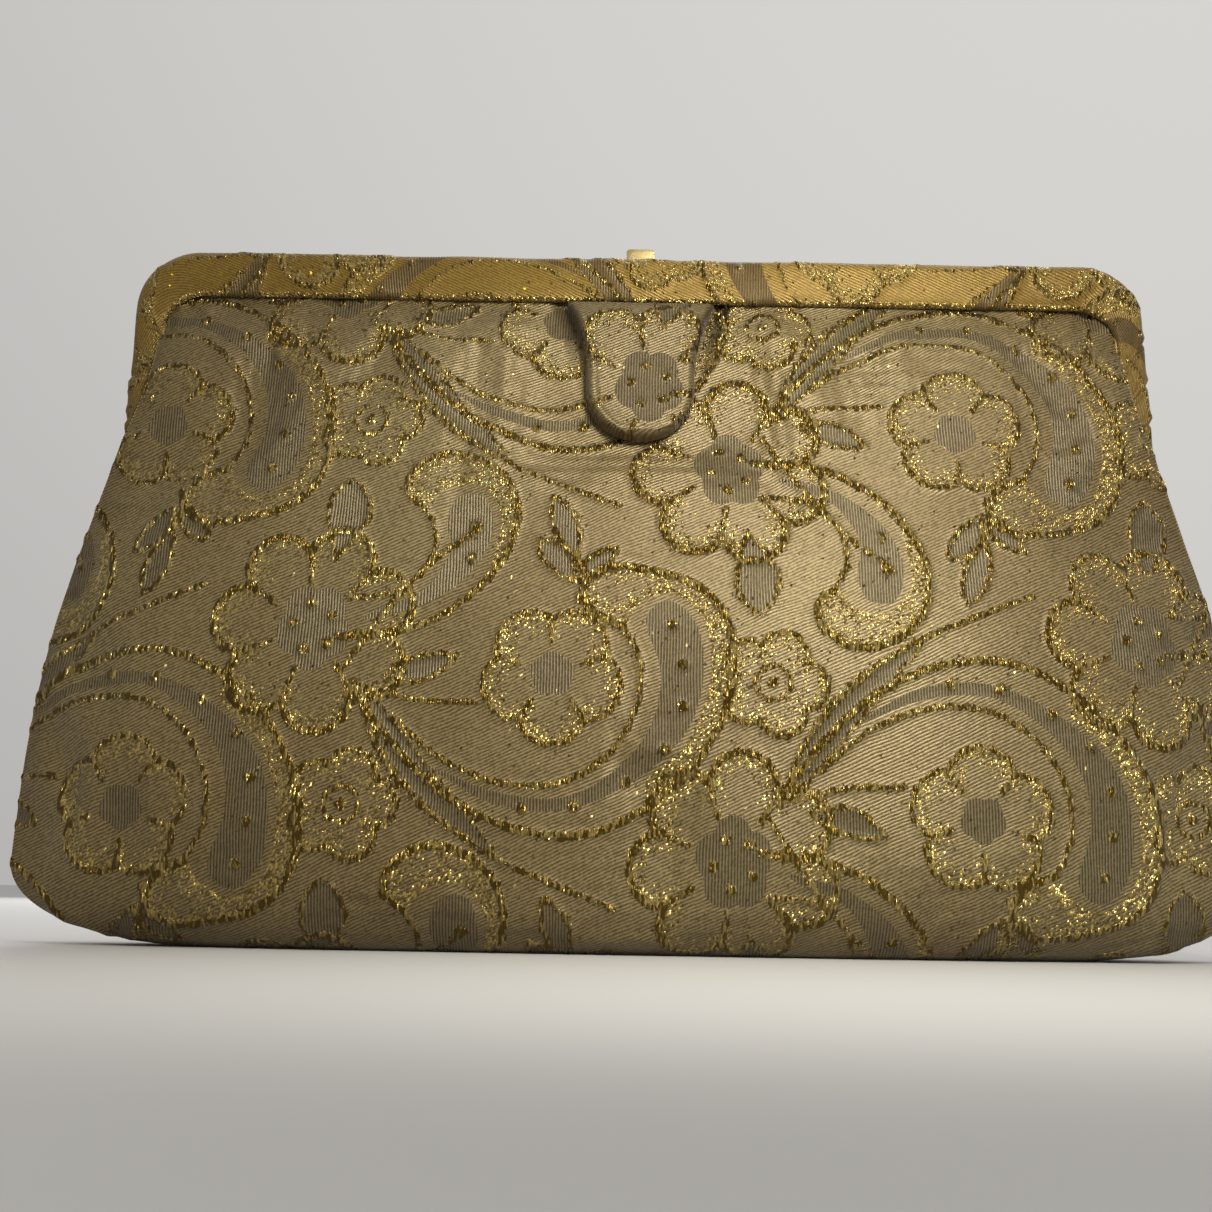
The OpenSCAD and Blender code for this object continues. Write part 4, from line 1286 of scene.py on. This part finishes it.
class CLUTCH_OT_tab(bpy.types.Operator):
    """Makes the padded tab with its rolled edge"""

    bl_idname = "clutch.tab"
    bl_label = "Tab"

    def execute(self, context):
        _, high = box_mm("tab_front_cover")
        _, back_high = box_mm("tab_back_cover")
        length = tab_length() * TAB_SLACK
        k = np.linspace(0, 1, TAB_ROWS)
        d = length * np.sin(k * math.pi / 2) ** 0.9
        d[-1] = length
        width = tab_half_width(d / TAB_SLACK)
        a = np.sin(np.linspace(-1, 1, TAB_COLS) * math.pi / 2)[None, :]
        x = width[:, None] * a
        down = np.broadcast_to(d[:, None], x.shape)
        edge_in = np.minimum(width[:, None] * (1 - np.abs(a)), (length - down) * 1.1)
        crown = np.clip(edge_in / 2.0, 0, 1)
        crown = np.sqrt(1 - (1 - crown) ** 2)
        tucked = np.clip((down + 1.0) / 5.0, 0, 1)
        dent = 0.16 * np.exp(-((edge_in - 2.2) / 0.5) ** 2)
        face = 0.35 + TAB_PAD * crown * (0.30 + 0.70 * tucked) - dent * tucked
        back = 0.30 - 0.30 * np.clip(edge_in / 1.2, 0, 1)
        origin = np.array([0, back_high[1], high[2]])
        along = np.array([0, -math.sin(TAB_LEAN), -math.cos(TAB_LEAN)])
        out = np.array([0, -math.cos(TAB_LEAN), math.sin(TAB_LEAN)])

        def place(rise):
            grid = origin + down[..., None] * along + rise[..., None] * out
            grid[..., 0] += x
            return grid

        front_grid, back_grid = place(face), place(back)
        u = (x + FLOWER[0] - 2).ravel()
        v = (length - down + FLOWER[1] - 12).ravel()
        height = threads(u, v).reshape(x.shape)
        wobble = low_noise(front_grid.reshape(-1, 3), 7.0, 4).reshape(x.shape) * 0.14
        rise = (height * THREAD_SHARE + wobble) * np.clip(edge_in / 0.8, 0, 1)
        front_grid = front_grid + out * rise[..., None]
        n = TAB_ROWS * TAB_COLS
        faces = grid_faces(TAB_ROWS, TAB_COLS, True) + grid_faces(TAB_ROWS, TAB_COLS, False, n)
        loop = list(range(TAB_COLS)) + [r * TAB_COLS + TAB_COLS - 1 for r in range(1, TAB_ROWS)]
        loop += [(TAB_ROWS - 1) * TAB_COLS + c for c in range(TAB_COLS - 2, -1, -1)]
        loop += [r * TAB_COLS for r in range(TAB_ROWS - 2, 0, -1)]
        faces += [[i, j, j + n, i + n][::-1] for i, j in zip(loop, loop[1:] + loop[:1])]
        points = np.vstack([front_grid.reshape(-1, 3), back_grid.reshape(-1, 3)])
        piece = mesh_object("tab_cloth", points, faces)
        # The whole tab a little darker, and painted shade along its rolled edges, deepest near the top
        # under the rim.
        shade_and_darkening = 0.20 + 0.75 * np.exp(-edge_in / 1.3) * np.clip((19 - down) / 13, 0, 1)
        shade_and_darkening += 0.55 * np.exp(-((edge_in / 0.7) ** 2))
        weave_cloth(piece, np.tile(u, 2), np.tile(v, 2), np.tile(shade_and_darkening.ravel(), 2))
        piece.data.materials.append(bag_brocade())
        mesh = bmesh.new()
        mesh.from_mesh(piece.data)
        bmesh.ops.remove_doubles(mesh, verts=mesh.verts, dist=0.02 * MM)
        bmesh.ops.recalc_face_normals(mesh, faces=mesh.faces)
        mesh.to_mesh(piece.data)
        mesh.free()
        smooth(piece)
        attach(piece, "tab")
        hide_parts("tab_front_cover", "tab_back_cover")
        return {"FINISHED"}


# ---- Lining ----------------------------------------------------------------------------------

LINING_COLS, LINING_ROWS = 121, 85
LINING_OFF, POCKET_OFF, BOARD_OFF = 3.1, 4.4, 1.25  # how far inside the bag's outer face
LINING_REACH, POCKET_REACH, BOARD_REACH = 0.92, 0.37, 0.9  # share of the bag's half width
LINING_TOP = 2.985
SATIN_T, BOARD_T = 0.35, 0.8
BOARD_COLOUR, BOARD_FIBRE = (0.45, 0.39, 0.30), 420.0


def lining_wall(name, front, off, p_start, p_end, limit, cols, rows, seed, material, thick, soft):
    """A sheet on the inside of one wall, soft with gathers or plain."""
    shape = BagShape()
    p_rows, _ = shape.rows(rows, p_start, p_end)
    s = np.linspace(-1, 1, cols)
    reach = np.where(p_rows > shape.p_at(HINGE_Z + 2), limit + 0.05, limit)
    x, y, z = shape.point(s[None, :] * reach[:, None], p_rows[:, None], off)
    side = -1 if front else 1
    points = np.stack([x, side * y, z], 2)
    gather = low_noise(points.reshape(-1, 3) * (1.0, 0.2, 0.22), 5.0, seed).reshape(x.shape)
    free = np.clip((shape.top - 6 - z) / 20, 0, 1) * np.clip((z - off - 1) / 8, 0, 1)
    points[..., 1] -= side * soft * (0.35 + 0.35 * gather) * free
    piece = mesh_object(name, points.reshape(-1, 3), grid_faces(rows, cols, front))
    piece.data.materials.append(material)
    apply_modifier(piece, "SOLIDIFY", thickness=thick * MM, offset=-1)
    smooth(piece)
    return piece, points


class CLUTCH_OT_stiffener(bpy.types.Operator):
    """Makes the front stiffener, a sheet of board that bends with the front cloth"""

    bl_idname = "clutch.stiffener"
    bl_label = "Front stiffener"

    def execute(self, context):
        low, high = box_mm("front_stiffener")
        shape = BagShape()
        board = card("stiffener_board", BOARD_COLOUR, BOARD_FIBRE)
        piece, points = lining_wall(
            "front_stiffener_board", True, BOARD_OFF, shape.p_at(low[2]), shape.p_at(high[2]),
            BOARD_REACH, 81, 49, 21, board, BOARD_T, 0.0)
        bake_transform(piece)
        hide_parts("front_stiffener")
        declare_sheet(piece, points)
        return {"FINISHED"}


class CLUTCH_OT_lining(bpy.types.Operator):
    """Makes the satin lining and its slip pocket"""

    bl_idname = "clutch.lining"
    bl_label = "Lining"

    def execute(self, context):
        piece, points = lining_wall(
            "front_lining", True, LINING_OFF, 0.0, LINING_TOP, LINING_REACH,
            LINING_COLS, LINING_ROWS, 11, satin(), SATIN_T, 1.0)
        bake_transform(piece)
        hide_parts("front_lining_upper", "front_lining_lower")
        declare_sheet(piece, points)
        piece, points = lining_wall(
            "back_lining_cloth", False, LINING_OFF, 0.0, LINING_TOP, LINING_REACH,
            LINING_COLS, LINING_ROWS, 14, satin(), SATIN_T, 1.0)
        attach(piece, "bag")
        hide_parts("back_lining")
        declare_sheet(piece, points)
        shape = BagShape()
        piece, points = lining_wall(
            "slip_pocket_cloth", False, POCKET_OFF, shape.p_at(26), shape.p_at(78), POCKET_REACH,
            61, 41, 17, satin(), SATIN_T, 1.0)
        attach(piece, "bag")
        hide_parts("slip_pocket")
        declare_sheet(piece, points)
        return {"FINISHED"}


# ---- Metal and board -------------------------------------------------------------------------


class CLUTCH_OT_catch(bpy.types.Operator):
    """Softens the edges of the brass catch hook"""

    bl_idname = "clutch.catch"
    bl_label = "Catch hook"

    def execute(self, context):
        select_only(frame["nodes"]["catch_hook"])
        bpy.ops.object.duplicate()
        piece = context.view_layer.objects.active
        piece.name = "catch_hook_bevelled"
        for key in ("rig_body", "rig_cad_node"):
            if key in piece:
                del piece[key]
        piece.parent = None
        bpy.ops.object.mode_set(mode="EDIT")
        bpy.ops.mesh.select_all(action="SELECT")
        bpy.ops.mesh.remove_doubles(threshold=0.005 * MM)
        bpy.ops.mesh.dissolve_limited(angle_limit=math.radians(1))
        bpy.ops.object.mode_set(mode="OBJECT")
        apply_modifier(piece, "BEVEL", width=0.16 * MM, segments=3, limit_method="ANGLE",
                       angle_limit=math.radians(40))
        bpy.ops.object.shade_smooth_by_angle(angle=math.radians(35))
        piece.data.materials.clear()
        piece.data.materials.append(metal("catch_brass", colours().brass, 0.24, 0.45))
        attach(piece, "bag")
        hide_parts("catch_hook")
        return {"FINISHED"}


class CLUTCH_OT_finishes(bpy.types.Operator):
    """Gives the frame, latch, rivets, boards and packing their finishes"""

    bl_idname = "clutch.finishes"
    bl_label = "Metal and board finishes"

    def execute(self, context):
        brass = colours().brass
        frame_colour = (brass[0] * 1.05, brass[1], brass[2] * 0.9)
        for names, material in (
            (["front_frame", "back_frame", "latch_lever"], metal("frame_brass", frame_colour, 0.30, 0.3)),
            (["hinge_rivets", "catch_rivets", "bracket_rivets"], metal("catch_brass", brass, 0.24, 0.45)),
            (["latch_bracket", "latch_pin", "latch_spring"],
             metal("latch_steel", (0.60, 0.59, 0.56), 0.28, 0.3)),
            (["front_packing_cord", "back_packing_cord"], card("paper_cord", (0.55, 0.46, 0.32), 1400.0)),
            (["back_stiffener", "base_board"], card("stiffener_board", BOARD_COLOUR, BOARD_FIBRE)),
        ):
            finish_nodes(names, material)
        return {"FINISHED"}


# ---- Stage -----------------------------------------------------------------------------------


LIGHTS = [  # name, place, target, size, watts, colour and spread in degrees
    ("key", (0.060, -0.200, 0.175), (0.02, 0, 0.07), 0.07, 0.225, (1.0, 0.945, 0.83), 110),
    ("fill", (-0.55, -0.55, 0.35), (0, 0, 0.08), 0.6, 0.35, (1.0, 0.78, 0.40), 180),
    ("top", (0.1, 0.20, 0.65), (0, 0, 0.10), 0.4, 0.9, (1.0, 0.98, 0.96), 180),
    ("back", (-0.25, 0.75, 0.40), (0, 0, 0.08), 0.5, 2.6, (1.0, 0.98, 0.96), 180)]
CAMERA_TILT, CAMERA_ROLL = math.radians(13), math.radians(1.0)
CAMERA_AWAY = 0.2597
CAMERA_AIM = Vector((-6.5 * MM, -9 * MM, 70.2 * MM))
HALF_VIEW = 0.48753  # tangent of half the camera's angle of view


def area_light(name, place, target, size, watts, colour, spread):
    data = bpy.data.lights.new(name, "AREA")
    data.size, data.energy, data.color = size, watts, colour
    data.spread = math.radians(spread)
    light = bpy.data.objects.new(name, data)
    light.location = place
    light.rotation_euler = (Vector(target) - Vector(place)).to_track_quat("-Z", "Y").to_euler()
    light.visible_camera = False
    bpy.context.scene.collection.objects.link(light)


def light_side(world):
    """A plain studio sky, brighter above, behind and to the right."""
    tree = world.node_tree
    background = tree.nodes["Background"]
    background.inputs[0].default_value = (1.0, 0.985, 0.955, 1)
    place = tree.nodes.new("ShaderNodeTexCoord")
    towards = tree.nodes.new("ShaderNodeVectorMath")
    towards.operation = "DOT_PRODUCT"
    towards.inputs[1].default_value = (0.40, 0.55, 0.73)
    strength = tree.nodes.new("ShaderNodeMapRange")
    for socket, value in zip(strength.inputs, (None, -1.0, 1.0, 0.03, 0.68)):
        if value is not None:
            socket.default_value = value
    tree.links.new(place.outputs["Generated"], towards.inputs[0])
    tree.links.new(towards.outputs["Value"], strength.inputs[0])
    tree.links.new(strength.outputs[0], background.inputs[1])


class CLUTCH_OT_stage(bpy.types.Operator):
    """Adds the pale floor, the soft lights and the camera"""

    bl_idname = "clutch.stage"
    bl_label = "Stage"

    def execute(self, context):
        scene = context.scene
        bpy.ops.object.select_all(action="DESELECT")
        bpy.ops.mesh.primitive_plane_add(size=12, location=(0, 0, 0))
        floor = context.view_layer.objects.active
        floor.name = "floor"
        f = Finish("floor_pale")
        speck = f.soft_noise(f.object_place(), 7.0)
        f.put(f.shader.inputs["Base Color"], f.mix(speck, (0.60, 0.60, 0.595), (0.62, 0.62, 0.615)))
        f.shader.inputs["Roughness"].default_value = 0.85
        floor.data.materials.append(f.material)
        world = bpy.data.worlds.new("studio")
        world.use_nodes = True
        light_side(world)
        scene.world = world
        for light in LIGHTS:
            area_light(*light)
        camera = bpy.data.cameras.new("camera")
        camera.angle = 2 * math.atan(HALF_VIEW)
        camera.clip_start = 0.01
        holder = bpy.data.objects.new("camera", camera)
        scene.collection.objects.link(holder)
        forward = Vector((0, math.cos(CAMERA_TILT), math.sin(CAMERA_TILT)))
        holder.location = CAMERA_AIM - CAMERA_AWAY * forward
        turn = forward.to_track_quat("-Z", "Y").to_matrix()
        holder.rotation_euler = (turn @ Matrix.Rotation(CAMERA_ROLL, 3, "Z")).to_euler()
        scene.camera = holder
        scene.view_settings.view_transform = "Standard"
        return {"FINISHED"}


OPERATORS = [
    CLUTCH_OT_stage, CLUTCH_OT_front_cloth, CLUTCH_OT_back_cloth, CLUTCH_OT_gussets, CLUTCH_OT_rim_covers,
    CLUTCH_OT_tab, CLUTCH_OT_stiffener, CLUTCH_OT_lining, CLUTCH_OT_catch, CLUTCH_OT_finishes]


class CLUTCH_PT_pieces(bpy.types.Panel):
    """Buttons for each piece of the purse"""

    bl_idname = "CLUTCH_PT_pieces"
    bl_label = "Clutch purse"
    bl_space_type = "VIEW_3D"
    bl_region_type = "UI"
    bl_category = "Clutch"

    def draw(self, context):
        for group in (context.scene.clutch_sizes, context.scene.clutch_colours):
            for name in type(group).__annotations__:
                self.layout.prop(group, name)
        for operator in OPERATORS:
            self.layout.operator(operator.bl_idname)


CLASSES = [ClutchSizes, ClutchColours, *OPERATORS, CLUTCH_PT_pieces]


def register():
    for cls in CLASSES:
        bpy.utils.register_class(cls)
    bpy.types.Scene.clutch_sizes = bpy.props.PointerProperty(type=ClutchSizes)
    bpy.types.Scene.clutch_colours = bpy.props.PointerProperty(type=ClutchColours)


def unregister():
    del bpy.types.Scene.clutch_sizes
    del bpy.types.Scene.clutch_colours
    for cls in reversed(CLASSES):
        bpy.utils.unregister_class(cls)


def main():
    register()
    for operator in OPERATORS:
        group, name = operator.bl_idname.split(".")
        getattr(getattr(bpy.ops, group), name)()


if __name__ == "__main__":
    main()
